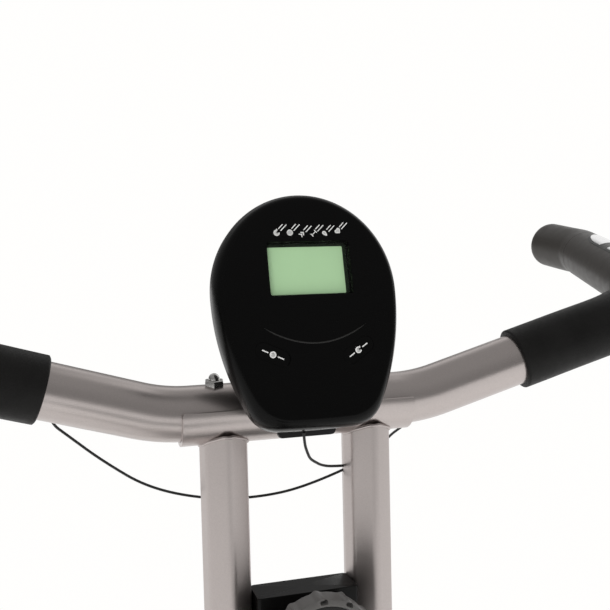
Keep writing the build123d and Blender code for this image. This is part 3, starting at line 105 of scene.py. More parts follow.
class BikeColours(bpy.types.PropertyGroup):
    """Colours of the finishes, as linear red, green and blue."""

    silver: paint("Silver paint", "Posts, bar and base", 0.545, 0.495, 0.480)
    steel: paint("Bright steel", "Bolts, axles and chain wheels", 0.62, 0.61, 0.60)
    black_powder: paint("Black powder coat", "Brackets, cranks and guards", 0.016, 0.016, 0.017)
    foam: paint("Foam", "Hand grips", 0.0052, 0.0050, 0.0048)
    console: paint("Console plastic", "Front of the console", 0.0012, 0.0012, 0.0012)
    plastic: paint("Black plastic", "Box, caps, case and pedals", 0.014, 0.0135, 0.013)
    horn: paint("Horn ends", "Soft moulded ends of the horns", 0.030, 0.0265, 0.0235)
    knob: paint("Knob plastic", "Tension and seat knobs", 0.098, 0.094, 0.091)
    screen: paint("Screen", "Unlit liquid crystal", 0.445, 0.680, 0.395)
    vinyl: paint("Saddle vinyl", "Saddle cover", 0.012, 0.012, 0.012)
    print_white: paint("Print", "Marks on the console", 0.72, 0.72, 0.71)


# ------------------------------------------------------------------ surfaces on grids
def unit(vectors):
    """Vectors divided by their own length."""
    vectors = np.asarray(vectors, float)
    return vectors / np.linalg.norm(vectors, axis=-1, keepdims=True)


def full_turn(count):
    """Even angles round a full turn, the last one short of the first."""
    return np.linspace(0, 2 * pi, count, endpoint=False)


def on_circle(angle):
    """Points of the unit circle at the given angles."""
    return np.stack([np.cos(angle), np.sin(angle)], axis=-1)


def rolled(distance, radius):
    """Fall of a rounded edge: how far a circle of the radius lies under its top, at a distance from the edge."""
    return radius - np.sqrt(radius**2 - np.clip(radius - distance, 0, radius) ** 2)


def lattice(points, around=True, along=False, start=None, end=None):
    """Skin over a grid of points: rows run along the piece and columns round it.  around and along close the
    grid on itself.  start and end close the first or last row with a fan to that point, or to the row's own
    mean where they are "mean"."""
    rows, columns = points.shape[:2]
    index = np.arange(rows * columns).reshape(rows, columns)
    if around:
        index = np.concatenate([index, index[:, :1]], axis=1)
    if along:
        index = np.concatenate([index, index[:1]], axis=0)
    quads = np.stack([index[:-1, :-1], index[:-1, 1:], index[1:, 1:], index[1:, :-1]], axis=-1).reshape(-1, 4)
    vertices = points.reshape(-1, 3)
    faces = quads.tolist()
    for place, row, turn in ((start, index[0], 1), (end, index[-1], -1)):
        if place is None:
            continue
        centre = points[0 if turn > 0 else -1].mean(axis=0) if isinstance(place, str) else np.asarray(place, float)
        pole = len(vertices)
        vertices = np.concatenate([vertices, centre[None]])
        ring = row if around else np.append(row, row[0])
        fan = np.stack([np.full(len(ring) - 1, pole), ring[1:], ring[:-1]], axis=-1)[:, :: turn]
        faces += fan.tolist()
    return vertices, faces


def volume(vertices, faces):
    """Signed volume of a closed skin: the sum of the tetrahedra from the origin to each fan triangle."""
    total = 0.0
    for count in {len(face) for face in faces}:
        group = np.array([face for face in faces if len(face) == count])
        corners = vertices[group]
        for k in range(1, count - 1):
            total += np.einsum("ij,ij->i", corners[:, 0], np.cross(corners[:, k], corners[:, k + 1])).sum() / 6
    return total


def outward(skin):
    """The same closed skin with its faces turned outwards."""
    vertices, faces = skin
    if volume(vertices - vertices.mean(axis=0), faces) < 0:
        faces = [face[::-1] for face in faces]
    return vertices, faces


def linked(name, data):
    """A new object in the scene."""
    piece = bpy.data.objects.new(name, data)
    bpy.context.scene.collection.objects.link(piece)
    return piece


def mesh_object(name, vertices, faces):
    """A new mesh object in the scene."""
    mesh = bpy.data.meshes.new(name)
    mesh.from_pydata(vertices.tolist(), [], faces)
    return linked(name, mesh)


def evaluated(piece):
    """The mesh of a piece with its modifiers applied."""
    bpy.context.view_layer.update()
    return bpy.data.meshes.new_from_object(piece.evaluated_get(bpy.context.evaluated_depsgraph_get()))


def build(name, skins, look, body, replaces=(), sharp=35.0):
    """One object from one or more skins, shaded smooth up to the sharp angle, riding on a body."""
    vertices, faces, base = [], [], 0
    for skin_vertices, skin_faces in skins:
        vertices.append(skin_vertices)
        faces += [[corner + base for corner in face] for face in skin_faces]
        base += len(skin_vertices)
    piece = mesh_object(name, np.concatenate(vertices), faces)
    piece.data.validate()
    settle(piece, look, body, replaces, sharp)
    return piece


def smooth(piece, sharp):
    """Smooth shading up to the sharp angle."""
    piece.data.polygons.foreach_set("use_smooth", np.ones(len(piece.data.polygons), bool))
    piece.data.set_sharp_from_angle(angle=radians(sharp))


def settle(piece, look, body, replaces=(), sharp=35.0):
    """Finish, shading and place in the frame for a piece that is already made."""
    if piece.type == "MESH":
        smooth(piece, sharp)
    piece.data.materials.clear()
    piece.data.materials.append(finish(look))
    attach(piece, body)
    if replaces:
        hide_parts(*replaces)


def travelled(path):
    """Distance from the start of a path to each of its points."""
    return np.append(0, np.cumsum(np.linalg.norm(np.diff(path, axis=0), axis=1)))


def resampled(path, lengths, wanted):
    """Points of a path at the wanted distances."""
    return np.stack([np.interp(wanted, lengths, column) for column in path.T], axis=-1)


def capped(rows):
    """Closed skin over rows of points, the first and last row each closed by a fan to its middle."""
    return outward(lattice(np.array(rows), start="mean", end="mean"))


def rounded(corners, radii, step=2.0 * MM):
    """Path of straight runs joined by arcs tangent to both, with points a step apart or less."""
    corners = np.asarray(corners, float)
    points = [corners[:1]]
    for before, corner, after, radius in zip(corners, corners[1:], corners[2:], radii):
        into, out = unit(before - corner), unit(after - corner)
        half = np.arccos(np.clip(into @ out, -1, 1)) / 2
        middle = corner + unit(into + out) * radius / sin(half)
        first = corner + into * radius / tan(half)
        turn = np.linspace(0, pi - 2 * half, max(6, int((pi - 2 * half) * radius / step)))[:, None]
        points.append(middle + radius * (np.cos(turn) * unit(first - middle) - np.sin(turn) * into))
    points.append(corners[-1:])
    path = np.concatenate(points)
    lengths = travelled(path)
    return resampled(path, lengths, np.linspace(0, lengths[-1], max(3, int(lengths[-1] / step))))


def frames(path):
    """Tangent, side and upper direction at each point of a path that never stands upright."""
    tangent = unit(np.gradient(path, axis=0))
    across = unit(np.cross(tangent, UP))
    return tangent, across, np.cross(across, tangent)


def hoop(angle, first, second):
    """Unit circles between two directions, one circle for each row of directions."""
    return np.cos(angle)[None, :, None] * first[:, None] + np.sin(angle)[None, :, None] * second[:, None]


def tube(path, radius, columns=72, start="mean", end="mean"):
    """Circle of the given radius, one for all or one per point or per grid place, carried along the path."""
    _, across, above = frames(path)
    angle = full_turn(columns)
    radius = np.asarray(radius, float)
    radius = radius[:, None] if radius.ndim == 1 else radius
    circle = hoop(angle, across, above)
    points = path[:, None] + np.broadcast_to(radius, (len(path), columns))[:, :, None] * circle
    return outward(lattice(points, start=start, end=end))


def turned(profile, origin, axis, columns=64, start=None, end=None, along=False):
    """Profile of (radius, height) pairs turned about an axis."""
    axis = unit(axis)
    helper = UP if abs(axis[2]) < 0.9 else np.array([1.0, 0, 0])
    x_axis = unit(np.cross(helper, axis))
    y_axis = np.cross(axis, x_axis)
    profile = np.asarray(profile, float)
    angle = full_turn(columns)
    ring = np.cos(angle)[:, None] * x_axis + np.sin(angle)[:, None] * y_axis
    points = np.asarray(origin) + profile[:, 0, None, None] * ring[None] + profile[:, 1, None, None] * axis
    return outward(lattice(points, start=start, end=end, along=along))


def mirrored(skin):
    """The same skin on the other side of the bike, faces still outwards."""
    vertices, faces = skin
    return vertices * np.array([-1.0, 1, 1]), [face[::-1] for face in faces]


def both_hands(skins):
    """The skins of the right hand and their mirror images."""
    return list(skins) + [mirrored(skin) for skin in skins]


def ripple(length_axis, angle, size, seed):
    """Slow unevenness of a soft sleeve: a few sine waves along and round it, with seeded phases."""
    random = np.random.default_rng(seed)
    total = np.zeros(np.broadcast(length_axis, angle).shape)
    for waves, turns in ((38, 1), (61, 2), (97, 3), (140, 1)):
        total = total + np.sin(waves * length_axis + turns * angle + random.uniform(0, 2 * pi))
    return size * total / 4


def cut(piece, cutters):
    """Takes closed cutter skins out of a piece and leaves no modifier behind."""
    for skin in cutters:
        cutter = mesh_object("cutter", *skin)
        step = piece.modifiers.new("cut", "BOOLEAN")
        step.operation, step.solver, step.object = "DIFFERENCE", "EXACT", cutter
        result = evaluated(piece)
        piece.modifiers.clear()
        piece.data = result
        bpy.data.objects.remove(cutter)
        if not len(result.polygons):
            raise RuntimeError("cut left nothing of " + piece.name)


# ------------------------------------------------------------------ shader nodes
def node(tree, kind, settings=(), **inputs):
    """A new shader node.  Each input is a link where a socket is given, and a value otherwise; "in0" stands
    for the first socket, and "From_Min" for the one of that name."""
    made = tree.nodes.new("ShaderNode" + kind)
    for key, value in dict(settings).items():
        setattr(made, key, value)
    for key, value in inputs.items():
        socket = made.inputs[int(key[2:]) if key[2:].isdigit() else key.replace("_", " ")]
        if isinstance(value, bpy.types.NodeSocket):
            tree.links.new(value, socket)
        else:
            socket.default_value = value
    return made


def cleared(data, name):
    """A new material or world with an empty node tree."""
    made = data.new(name)
    made.use_nodes = True
    made.node_tree.nodes.clear()
    return made, made.node_tree


def mixed(tree, factor, first, second):
    """Colour between two colours or colour sockets, by a factor."""
    return node(tree, "Mix", {"data_type": "RGBA"}, Factor=factor, in6=first, in7=second).outputs[2]


# ------------------------------------------------------------------ finishes
class Finish:
    """A material under construction: one Principled shader, Object coordinates and short calls for nodes."""

    def __init__(self, name, colour, roughness, metallic=0.0, specular=0.5):
        self.material = bpy.data.materials.new("bike_" + name)
        self.material.use_nodes = True
        self.tree = self.material.node_tree
        self.shader = self.tree.nodes["Principled BSDF"]
        self.shader.inputs["Base Color"].default_value = (*colour, 1)
        self.shader.inputs["Roughness"].default_value = roughness
        self.shader.inputs["Metallic"].default_value = metallic
        self.shader.inputs["Specular IOR Level"].default_value = specular
        self.material.diffuse_color = (*colour, 1)
        self.place = node(self.tree, "TexCoord").outputs["Object"]
        self.bumps = None

    def stretched(self, scale):
        """Object coordinates drawn out along an axis."""
        return node(self.tree, "Mapping", Vector=self.place, Scale=scale).outputs["Vector"]

    def noise(self, scale, detail=3.0, rough=0.5, place=None):
        return node(self.tree, "TexNoise", Vector=place or self.place, Scale=scale, Detail=detail,
                    Roughness=rough).outputs["Fac"]

    def cells(self, scale, output="Distance", feature="F1"):
        return node(self.tree, "TexVoronoi", {"feature": feature}, Vector=self.place, Scale=scale).outputs[output]

    def spread(self, value, low, high, start=0.3, stop=0.7):
        """Value from start to stop, moved to low to high."""
        return node(self.tree, "MapRange", Value=value, From_Min=start, From_Max=stop, To_Min=low,
                    To_Max=high).outputs["Result"]

    def tint(self, factor, dark, light):
        """Base colour between two colours by a factor."""
        colour = mixed(self.tree, factor, (*dark, 1), (*light, 1))
        self.tree.links.new(colour, self.shader.inputs["Base Color"])

    def rough(self, value, low, high):
        self.tree.links.new(self.spread(value, low, high), self.shader.inputs["Roughness"])

    def bump(self, height, strength, distance):
        """Adds a layer of relief, distance metres deep, over the layers before it."""
        below = {} if self.bumps is None else {"Normal": self.bumps}
        self.bumps = node(self.tree, "Bump", Height=height, Strength=strength, Distance=distance,
                          **below).outputs["Normal"]
        self.tree.links.new(self.bumps, self.shader.inputs["Normal"])


def shade(colour, factor):
    """A colour made darker or lighter."""
    return tuple(min(1.0, channel * factor) for channel in colour)


def silver_paint(name, colour, gloss):
    """Satin metallic paint: fine flake in colour and relief, faint orange peel, soft clear coat."""
    f = Finish(name, colour, gloss + 0.02, metallic=1.0)
    flake = f.cells(2600.0, output="Color")
    f.tint(f.spread(flake, 0.0, 1.0, 0.1, 0.9), shade(colour, 0.96), shade(colour, 1.05))
    f.rough(f.noise(9.0, 4.0), gloss, gloss + 0.05)
    f.bump(flake, 0.04, 0.00002)
    f.bump(f.noise(420.0, 2.0), 0.02, 0.0002)
    return f.material


def hand_foam(name, colour):
    """Closed-cell rubber foam: small pores of two sizes, a dusty bloom and a low satin sheen."""
    f = Finish(name, colour, 0.45, specular=0.17)
    pores = f.cells(1500.0)
    f.tint(f.spread(f.noise(45.0, 5.0), 0.0, 1.0), shade(colour, 0.75), shade(colour, 1.5))
    f.rough(f.noise(300.0, 3.0), 0.42, 0.52)
    f.bump(f.spread(pores, 0.0, 1.0, 0.05, 0.6), 0.45, 0.00018)
    f.bump(f.noise(650.0, 4.0, 0.65), 0.35, 0.00025)
    return f.material


def moulding(name, colour, gloss=0.45, specular=0.4):
    """Spark-grained moulding."""
    f = Finish(name, colour, gloss, specular=specular)
    f.tint(f.noise(26.0, 4.0), shade(colour, 0.85), shade(colour, 1.2))
    f.rough(f.noise(85.0, 3.0), gloss - 0.05, gloss + 0.09)
    f.bump(f.noise(2100.0, 3.0, 0.6), 0.30, 0.0001)
    f.bump(f.cells(900.0), 0.10, 0.0001)
    return f.material


def screen_glass(name, colour):
    """Thin clear window: mostly see-through, with a faint even haze."""
    f = Finish(name, colour, 0.08, specular=0.4)
    f.rough(f.noise(220.0, 2.0), 0.06, 0.12)
    f.shader.inputs["Alpha"].default_value = 0.05
    return f.material


def liquid_crystal(name, colour):
    """Unlit display: pale green with a fine dot lattice and a slow change of tone."""
    f = Finish(name, colour, 0.55, specular=0.15)
    dots = node(f.tree, "TexVoronoi", {"feature": "F1"}, Vector=f.stretched((1.0, 1.0, 1.0)), Scale=1900.0)
    tone = f.spread(f.noise(14.0, 2.0), 0.55, 1.0)
    dot_tone = f.spread(dots.outputs["Distance"], 0.94, 1.0, 0.0, 0.4)
    blend = node(f.tree, "Math", {"operation": "MULTIPLY"}, in0=tone, in1=dot_tone)
    f.tint(blend.outputs[0], shade(colour, 0.86), shade(colour, 1.04))
    f.rough(f.noise(300.0, 2.0), 0.5, 0.6)
    return f.material


def circuit_green(name, colour):
    """Solder-masked board with faint tracks."""
    f = Finish(name, colour, 0.35)
    tracks = node(f.tree, "TexBrick", Vector=f.place, Scale=160.0).outputs["Fac"]
    f.tint(tracks, colour, shade(colour, 1.9))
    f.rough(f.noise(200.0, 3.0), 0.3, 0.42)
    f.bump(tracks, 0.2, 0.0001)
    return f.material


def saddle_vinyl(name, colour):
    """Embossed vinyl: small leather cells, soft creases and a low sheen."""
    f = Finish(name, colour, 0.48, specular=0.45)
    grain = f.cells(620.0, feature="DISTANCE_TO_EDGE")
    f.tint(f.noise(22.0, 5.0), shade(colour, 0.75), shade(colour, 1.45))
    f.rough(f.noise(75.0, 4.0), 0.42, 0.60)
    f.bump(f.spread(grain, 0.0, 1.0, 0.0, 0.12), 0.35, 0.00022)
    f.bump(f.noise(55.0, 4.0, 0.55), 0.22, 0.0012)
    return f.material


def grained(name, colour, surface, tint, rough, bump):
    """Finish from three noises.  surface holds roughness, metallic and specular; tint a noise and the darker
    and lighter colour; rough a noise, its stretch and the least and most roughness; bump a noise, its stretch,
    its strength and its depth."""
    f = Finish(name, colour, *surface)
    f.tint(f.noise(*tint[0]), *tint[1:])
    for call, (noise, stretch, first, second) in ((f.rough, rough), (f.bump, bump)):
        if noise:
            call(f.noise(*noise, place=f.stretched(stretch) if stretch else None), first, second)
    return f.material


def steps(colour, darker, lighter):
    """Two shades of a colour."""
    return shade(colour, darker), shade(colour, lighter)


GREEN_MASK, JACKET, POLISHED = (0.012, 0.085, 0.030), (0.010, 0.010, 0.010), (0.80, 0.80, 0.81)
# each finish from the name of its material and the user's colours
MAKERS = {
    "post_paint": lambda n, c: silver_paint(n, c.silver, 0.38),
    "silver_paint": lambda n, c: silver_paint(n, c.silver, 0.27),
    "hand_foam": lambda n, c: hand_foam(n, c.foam),
    "black_plastic": lambda n, c: moulding(n, c.plastic),
    "knob_plastic": lambda n, c: moulding(n, c.knob, 0.38),
    "soft_black_plastic": lambda n, c: moulding(n, shade(c.plastic, 0.8), 0.55),
    # darkened copy of the screen's green: painted shade on the display's edge under the window's wall
    "screen_shade_green": lambda n, c: moulding(n, (0.011, 0.018, 0.010), 0.6, 0.02),
    # black plastic at 0.12 of its colour with little sheen: painted shade, a shaded copy that darkens the tension
    # box's front and the hollows of the pulse sensors
    "shaded_black_plastic": lambda n, c: moulding(n, shade(c.plastic, 0.12), 0.3, 0.2),
    "screen_glass": lambda n, c: screen_glass(n, (0.04, 0.045, 0.04)),
    "liquid_crystal": lambda n, c: liquid_crystal(n, c.screen),
    "circuit_green": lambda n, c: circuit_green(n, GREEN_MASK),
    "saddle_vinyl": lambda n, c: saddle_vinyl(n, c.vinyl),
    # turned and zinc-plated steel: fine tool lines and cloudy plating
    "bright_steel": lambda n, c: grained(
        n, c.steel, (0.25, 1.0), ((160.0, 4.0), *steps(c.steel, 0.82, 1.05)),
        ((600.0, 3.0), (0.2, 1.0, 1.0), 0.16, 0.34), ((2400.0, 2.0), (0.05, 1.0, 1.0), 0.08, 0.0001)),
    # black powder coat: fine pebbled relief with a little sheen variation
    "black_powder": lambda n, c: grained(
        n, c.black_powder, (0.42, 0.0, 0.42), ((30.0, 4.0), *steps(c.black_powder, 0.8, 1.3)),
        ((70.0, 3.0), None, 0.36, 0.50), ((1500.0, 2.0), None, 0.22, 0.00012)),
    # dark grey enamel of the fan wheel, with flow marks along the rims
    "fan_paint": lambda n, c: grained(
        n, shade(c.black_powder, 2.2), (0.34,), ((24.0, 5.0), *steps(shade(c.black_powder, 2.2), 0.8, 1.25)),
        ((110.0, 3.0), None, 0.28, 0.44), ((520.0, 2.0), None, 0.12, 0.0002)),
    # soft brown-grey moulding of the horn ends: silky, faintly mottled, with a fine matt grain
    "horn_rubber": lambda n, c: grained(
        n, c.horn, (0.42, 0.0, 0.40), ((24.0, 4.0), *steps(c.horn, 0.88, 1.12)),
        ((160.0, 3.0), None, 0.38, 0.47), ((1400.0, 3.0, 0.6), None, 0.18, 0.0001)),
    # polished black moulding: almost even, with faint sink marks and hairline handling marks
    "console_plastic": lambda n, c: grained(
        n, c.console, (0.20, 0.0, 0.12), ((18.0, 3.0), *steps(c.console, 0.85, 1.2)),
        ((900.0, 4.0), (0.15, 1.0, 1.0), 0.20, 0.30), ((38.0, 1.0), None, 0.04, 0.0004)),
    # black rubber: matte, with mould bloom
    "tread_rubber": lambda n, c: grained(
        n, c.plastic, (0.75, 0.0, 0.3), ((60.0, 5.0), *steps(c.plastic, 0.7, 1.7)),
        ((140.0, 3.0), None, 0.65, 0.86), ((1100.0, 3.0), None, 0.25, 0.0002)),
    # soft black insulation with a slight die line
    "wire_jacket": lambda n, c: grained(
        n, JACKET, (0.42, 0.0, 0.4), ((180.0, 3.0), (0.007, 0.007, 0.007), (0.014, 0.014, 0.014)),
        ((500.0, 2.0), None, 0.36, 0.5), ((1600.0, 2.0), None, 0.1, 0.00005)),
    # pad-printed ink, a little uneven
    "white_print": lambda n, c: grained(
        n, c.print_white, (0.5, 0.0, 0.3), ((1500.0, 3.0), shade(c.print_white, 0.86), c.print_white),
        (None, None, 0, 0), ((2600.0, 2.0), None, 0.1, 0.00003)),
    # polished plate of the pulse sensor with fine wipe marks
    "sensor_chrome": lambda n, c: grained(
        n, POLISHED, (0.12, 1.0), ((60.0, 3.0), (0.72, 0.72, 0.73), (0.86, 0.86, 0.87)),
        ((700.0, 3.0), (1.0, 0.1, 1.0), 0.08, 0.2), ((90.0, 2.0), None, 0.03, 0.0003)),
}

# the record's material slot, and the finish that stands for it
SLOT_FINISHES = {
    "silver_paint": "silver_paint", "black_steel": "black_powder", "bright_steel": "bright_steel",
    "chrome": "sensor_chrome", "foam": "hand_foam", "rubber_black": "tread_rubber",
    "console_plastic": "console_plastic", "black_plastic": "black_plastic", "grey_plastic": "knob_plastic",
    "lens": "screen_glass", "lcd": "liquid_crystal", "board": "circuit_green", "vinyl": "saddle_vinyl",
    "fan_paint": "fan_paint",
}


def finish(name):
    """A finish by name, made the first time it is asked for."""
    return bpy.data.materials.get("bike_" + name) or MAKERS[name](name, bpy.context.scene.bike_colours)


# ------------------------------------------------------------------ shared places
def arm_direction(s):
    """Direction of the right arm: turned by the sweep, then raised by the rise."""
    return np.array([cos(s.bar_rise) * cos(s.bar_sweep), sin(s.bar_sweep) * cos(s.bar_rise), sin(s.bar_rise)])


# corner to the slight bend of the horn, and from there to its tip
HORN_REACH = np.array([53.0, 175.0, 18.0]) * MM
TIP_REACH = np.array([-3.0, 48.0, 3.5]) * MM
HORN = unit(HORN_REACH)
TIP = unit(TIP_REACH)


def bar_corners(s):
    """Right-hand corners of the bar: first bend, horn bend, slight bend, horn tip."""
    bend = BAR_MIDDLE + np.array([s.bar_straight, 0, 0])
    horn = bend + arm_direction(s) * s.bar_arm
    return bend, horn, horn + HORN_REACH, horn + HORN_REACH + TIP_REACH


def horn_places(s):
    """Where the pulse sensor starts and ends on the right horn."""
    end = bar_corners(s)[2] - HORN * s.sleeve_back
    return end - HORN * s.housing_length, end


# from the middle of the bar to the middle of the display
DISPLAY_OFFSET = np.array([0, -25.5, 80.6]) * MM
FACE = 2.5 * MM  # front of the console at its edge, in front of the display


def console_place(s, points):
    """Points given as (across, up, out) from the middle of the display, brought to the bike."""
    points = np.asarray(points, float)
    tilt = s.console_tilt
    upward = np.array([0, sin(tilt), cos(tilt)])
    out = np.array([0, -cos(tilt), sin(tilt)])
    origin = BAR_MIDDLE + DISPLAY_OFFSET
    return origin + points[..., :1] * np.array([1.0, 0, 0]) + points[..., 1:2] * upward + points[..., 2:] * out


def egg(s, inset, count=200):
    """Console outline shrunk by inset: half an ellipse over the waist, two bowed flanks that end nearer
    together, and a shallow foot, with the two foot corners rounded.  Starts at the top and runs clockwise."""
    waist, crown, foot, foot_half, corner = -9.0 * MM, 55.8 * MM, -84.5 * MM, 31.5 * MM, 13.0 * MM
    half = s.console_width / 2 - inset
    end_x, end_y = foot_half - inset * 0.8, foot + 1.0 * MM + inset
    quarter = np.linspace(pi / 2, 0, 60)
    top = np.stack([half * np.cos(quarter), waist + (crown - inset) * np.sin(quarter)], axis=-1)
    shrink, fall = half - end_x, waist - end_y
    bow = (shrink**2 + fall**2) / (2 * shrink)
    sweep = np.linspace(0, asin(fall / bow), 60)[1:]
    flank = np.stack([half - bow + bow * np.cos(sweep), waist - bow * np.sin(sweep)], axis=-1)
    reach = min(corner * 0.8, end_x * 0.7)
    flank = flank[np.linalg.norm(flank - [end_x, end_y], axis=1) > reach]
    along = np.linspace(1, 0, 24)[:, None]
    base = np.stack([end_x * along[:, 0], end_y - 1.0 * MM * (1 - along[:, 0] ** 2)], axis=-1)
    base = base[np.linalg.norm(base - [end_x, end_y], axis=1) > reach]
    bend = np.linspace(0, 1, 16)[1:-1, None]
    knee = np.array([end_x, end_y])
    corner_line = (1 - bend) ** 2 * flank[-1] + 2 * (1 - bend) * bend * knee + bend**2 * base[0]
    right = np.concatenate([top, flank, corner_line, base])
    left = right[::-1][1:-1] * np.array([-1.0, 1])
    outline = np.concatenate([right, left])
    closed = np.concatenate([outline, outline[:1]])
    lengths = travelled(closed)
    return resampled(closed, lengths, np.linspace(0, lengths[-1], count, endpoint=False))


def egg_rows(s, rings):
    """Console outlines, one for each (inset, depth)."""
    return [np.column_stack([egg(s, inset), np.full(200, depth)]) for inset, depth in rings]


def slot_outline(length, width, centre, slant, count=48):
    """Oblong with round ends: a circle whose two halves are moved apart, turned by the slant."""
    angle = full_turn(count)
    shift = (length - width) / 2
    x = width / 2 * np.cos(angle) + np.sign(np.cos(angle)) * shift
    points = np.stack([x, width / 2 * np.sin(angle)], axis=-1)
    turn = np.array([[cos(slant), sin(slant)], [-sin(slant), cos(slant)]])
    return points @ turn + np.asarray(centre)


def box_outline(width, height, corner, count=64):
    """Rectangle with round corners: a circle whose four quarters are moved to the corners."""
    angle = full_turn(count) + pi / count
    x = corner * np.cos(angle) + np.sign(np.cos(angle)) * (width / 2 - corner)
    y = corner * np.sin(angle) + np.sign(np.sin(angle)) * (height / 2 - corner)
    return np.stack([x, y], axis=-1)


def prism(s, outline, depths, insets=None):
    """Closed solid over a console-plane outline: one ring per depth, each shrunk towards its middle."""
    insets = insets if insets is not None else np.zeros(len(depths))
    middle = outline.mean(axis=0)
    away = outline - middle
    length = np.linalg.norm(away, axis=1, keepdims=True)
    rings = [np.column_stack([middle + away * (1 - inset / length), np.full(len(outline), depth)])
             for depth, inset in zip(depths, insets)]
    return capped(console_place(s, np.array(rings)))


# ------------------------------------------------------------------ wires
# Route points from the middle of the bar, in metres
WIRE_ROUTES = {
    "console_wire": [
        (-0.0055, -0.0370, -0.0055), (-0.0046, -0.0355, -0.0125), (-0.0020, -0.0320, -0.0185),
        (0.0010, -0.0275, -0.0240), (0.0059, -0.0230, -0.0280), (0.0115, -0.0160, -0.0325),
        (0.0202, -0.0080, -0.0367), (0.0306, -0.0010, -0.0394),
    ],
    "left_pulse_wire": [
        (-0.1400, 0.0070, 0.0083), (-0.1388, 0.0098, -0.0018), (-0.1295, 0.0123, -0.0108),
        (-0.1110, 0.0145, -0.0280), (-0.0840, 0.0160, -0.0483), (-0.0460, 0.0155, -0.0590),
        (-0.0120, 0.0100, -0.0578), (0.0135, 0.0045, -0.0505), (0.03075, -0.0003, -0.0420),
    ],
    "right_pulse_wire": [
        (0.0563, -0.0010, -0.0270), (0.0630, 0.0055, -0.0250), (0.0720, 0.0125, -0.0235),
        (0.0880, 0.0200, -0.0175), (0.1060, 0.0230, -0.0080), (0.1220, 0.0205, -0.0005),
        (0.1320, 0.0135, 0.0040), (0.1370, 0.0072, 0.0074),
    ],
}


class BIKE_OT_wires(bpy.types.Operator):
    """Leads of the console and of the two pulse sensors, each one smooth curve along its route"""

    bl_idname = "bike.wires"
    bl_label = "Wires"

    def execute(self, context):
        s = context.scene.bike_sizes
        for name, route in WIRE_ROUTES.items():
            points = np.array(route) + BAR_MIDDLE
            curve = bpy.data.curves.new(name, "CURVE")
            curve.dimensions = "3D"
            curve.bevel_depth = s.wire_diameter / 2
            curve.bevel_resolution = 4
            curve.resolution_u = 10
            curve.use_fill_caps = True
            spline = curve.splines.new("NURBS")
            spline.points.add(len(points) - 1)
            spline.points.foreach_set("co", np.column_stack([points, np.ones(len(points))]).ravel())
            spline.order_u = 3
            spline.use_endpoint_u = True
            lead = linked(name + "_lead", curve)
            settle(lead, "wire_jacket", "frame", (name,))
        return {"FINISHED"}


# ------------------------------------------------------------------ bar, cradle and posts
class BIKE_OT_bar(bpy.types.Operator):
    """Handlebar tube: a circle carried along straight runs and four bends"""

    bl_idname = "bike.bar"
    bl_label = "Handlebar"

    def execute(self, context):
        s = context.scene.bike_sizes
        corners = np.array(bar_corners(s))
        radii = [s.bar_bend, s.horn_bend, s.tip_bend]
        path = rounded(np.concatenate([corners[::-1] * [-1, 1, 1], corners]), radii[::-1] + radii)
        build("bar_tube", [tube(path, s.bar_diameter / 2, columns=96)], "silver_paint", "frame",
              ("handlebar",))
        return {"FINISHED"}


class BIKE_OT_cradle(bpy.types.Operator):
    """Half shell under the bar with its two bolts and domed cap nuts"""

    bl_idname = "bike.cradle"
    bl_label = "Cradle"

    def execute(self, context):
        s = context.scene.bike_sizes
        inner, wall, corner = s.bar_diameter / 2 + 0.1 * MM, 2.4 * MM, 1.5 * MM
        half, lip = s.cradle_length / 2, radians(9.0)
        # rows along X; the lip falls along a circle of the corner's radius near both ends
        x = half * np.sin(np.linspace(-pi / 2, pi / 2, 90))
        over = np.clip(np.abs(x) - (half - corner), 0, corner)
        limit = lip - (corner - np.sqrt(corner**2 - over**2)) / (inner + wall)
        share = np.linspace(0, 1, 60)
        angle = limit[:, None] - share * (pi + 2 * limit[:, None])

        def arc(radius, angles):
            y, z = radius * np.cos(angles), radius * np.sin(angles)
            lean = s.post_lean
            turned_y, turned_z = y * cos(lean) + z * sin(lean), -y * sin(lean) + z * cos(lean)
            return np.stack([np.broadcast_to(x[:, None], y.shape), turned_y + BAR_MIDDLE[1],
                             turned_z + BAR_MIDDLE[2]], axis=-1)

        edge = 0.45 * MM
        rings = [arc(inner + wall, angle), arc(inner + wall - edge, angle[:, -1:] - edge / inner),
                 arc(inner, angle[:, ::-1]), arc(inner + wall - edge, angle[:, :1] + edge / inner)]
        shell = capped(np.concatenate(rings, axis=1))
        build("bar_cradle_shell", [shell], "silver_paint", "frame", ("bar_cradle",), 40)

        skins = []
        angle6 = full_turn(6) + 0.35
        hexagon = np.stack([np.cos(angle6), np.sin(angle6), np.zeros(6)], axis=-1) * 5.9 * MM
        height = 2.8 * MM
        for hand in (-1, 1):
            top = BAR_MIDDLE + [hand * 48 * MM, 0, s.bar_diameter / 2]
            levels = ((-1.0 * MM, 1.0), (height - 0.8 * MM, 1.0), (height - 0.3 * MM, 0.965), (height, 0.87))
            rows = np.array([top + hexagon * grow + [0, 0, up] for up, grow in levels])
            skins.append(outward(lattice(rows, start="mean", end="mean")))
            turn = np.linspace(0, pi / 2, 14)
            dome = [(3.3 * MM * cos(t), height + 0.5 * MM + 3.3 * MM * sin(t)) for t in turn[:-1]]
            skins.append(turned([(3.3 * MM, height - 0.2 * MM)] + dome, top, UP, start="mean", end="mean"))
            stem = [(3.0 * MM, -36.2 * MM), (3.0 * MM, 0)]
            skins.append(turned(stem, top, UP, start="mean", end="mean"))
            head = [(4.8 * MM, -36.0 * MM), (5.4 * MM, -35.5 * MM), (5.4 * MM, -34.0 * MM)]
            skins.append(turned(head, top, UP, start="mean", end="mean"))
        build("cradle_bolts", skins, "bright_steel", "frame", ("bar_bolts",), 30)
        return {"FINISHED"}


POST_SHOULDER = (12.0 * MM, 9.8 * MM)  # post axis to the four slanting corners
POST_TOP = -12.0 * MM  # flat top of the posts under the bar's axis
POST_WALL = 2.0 * MM


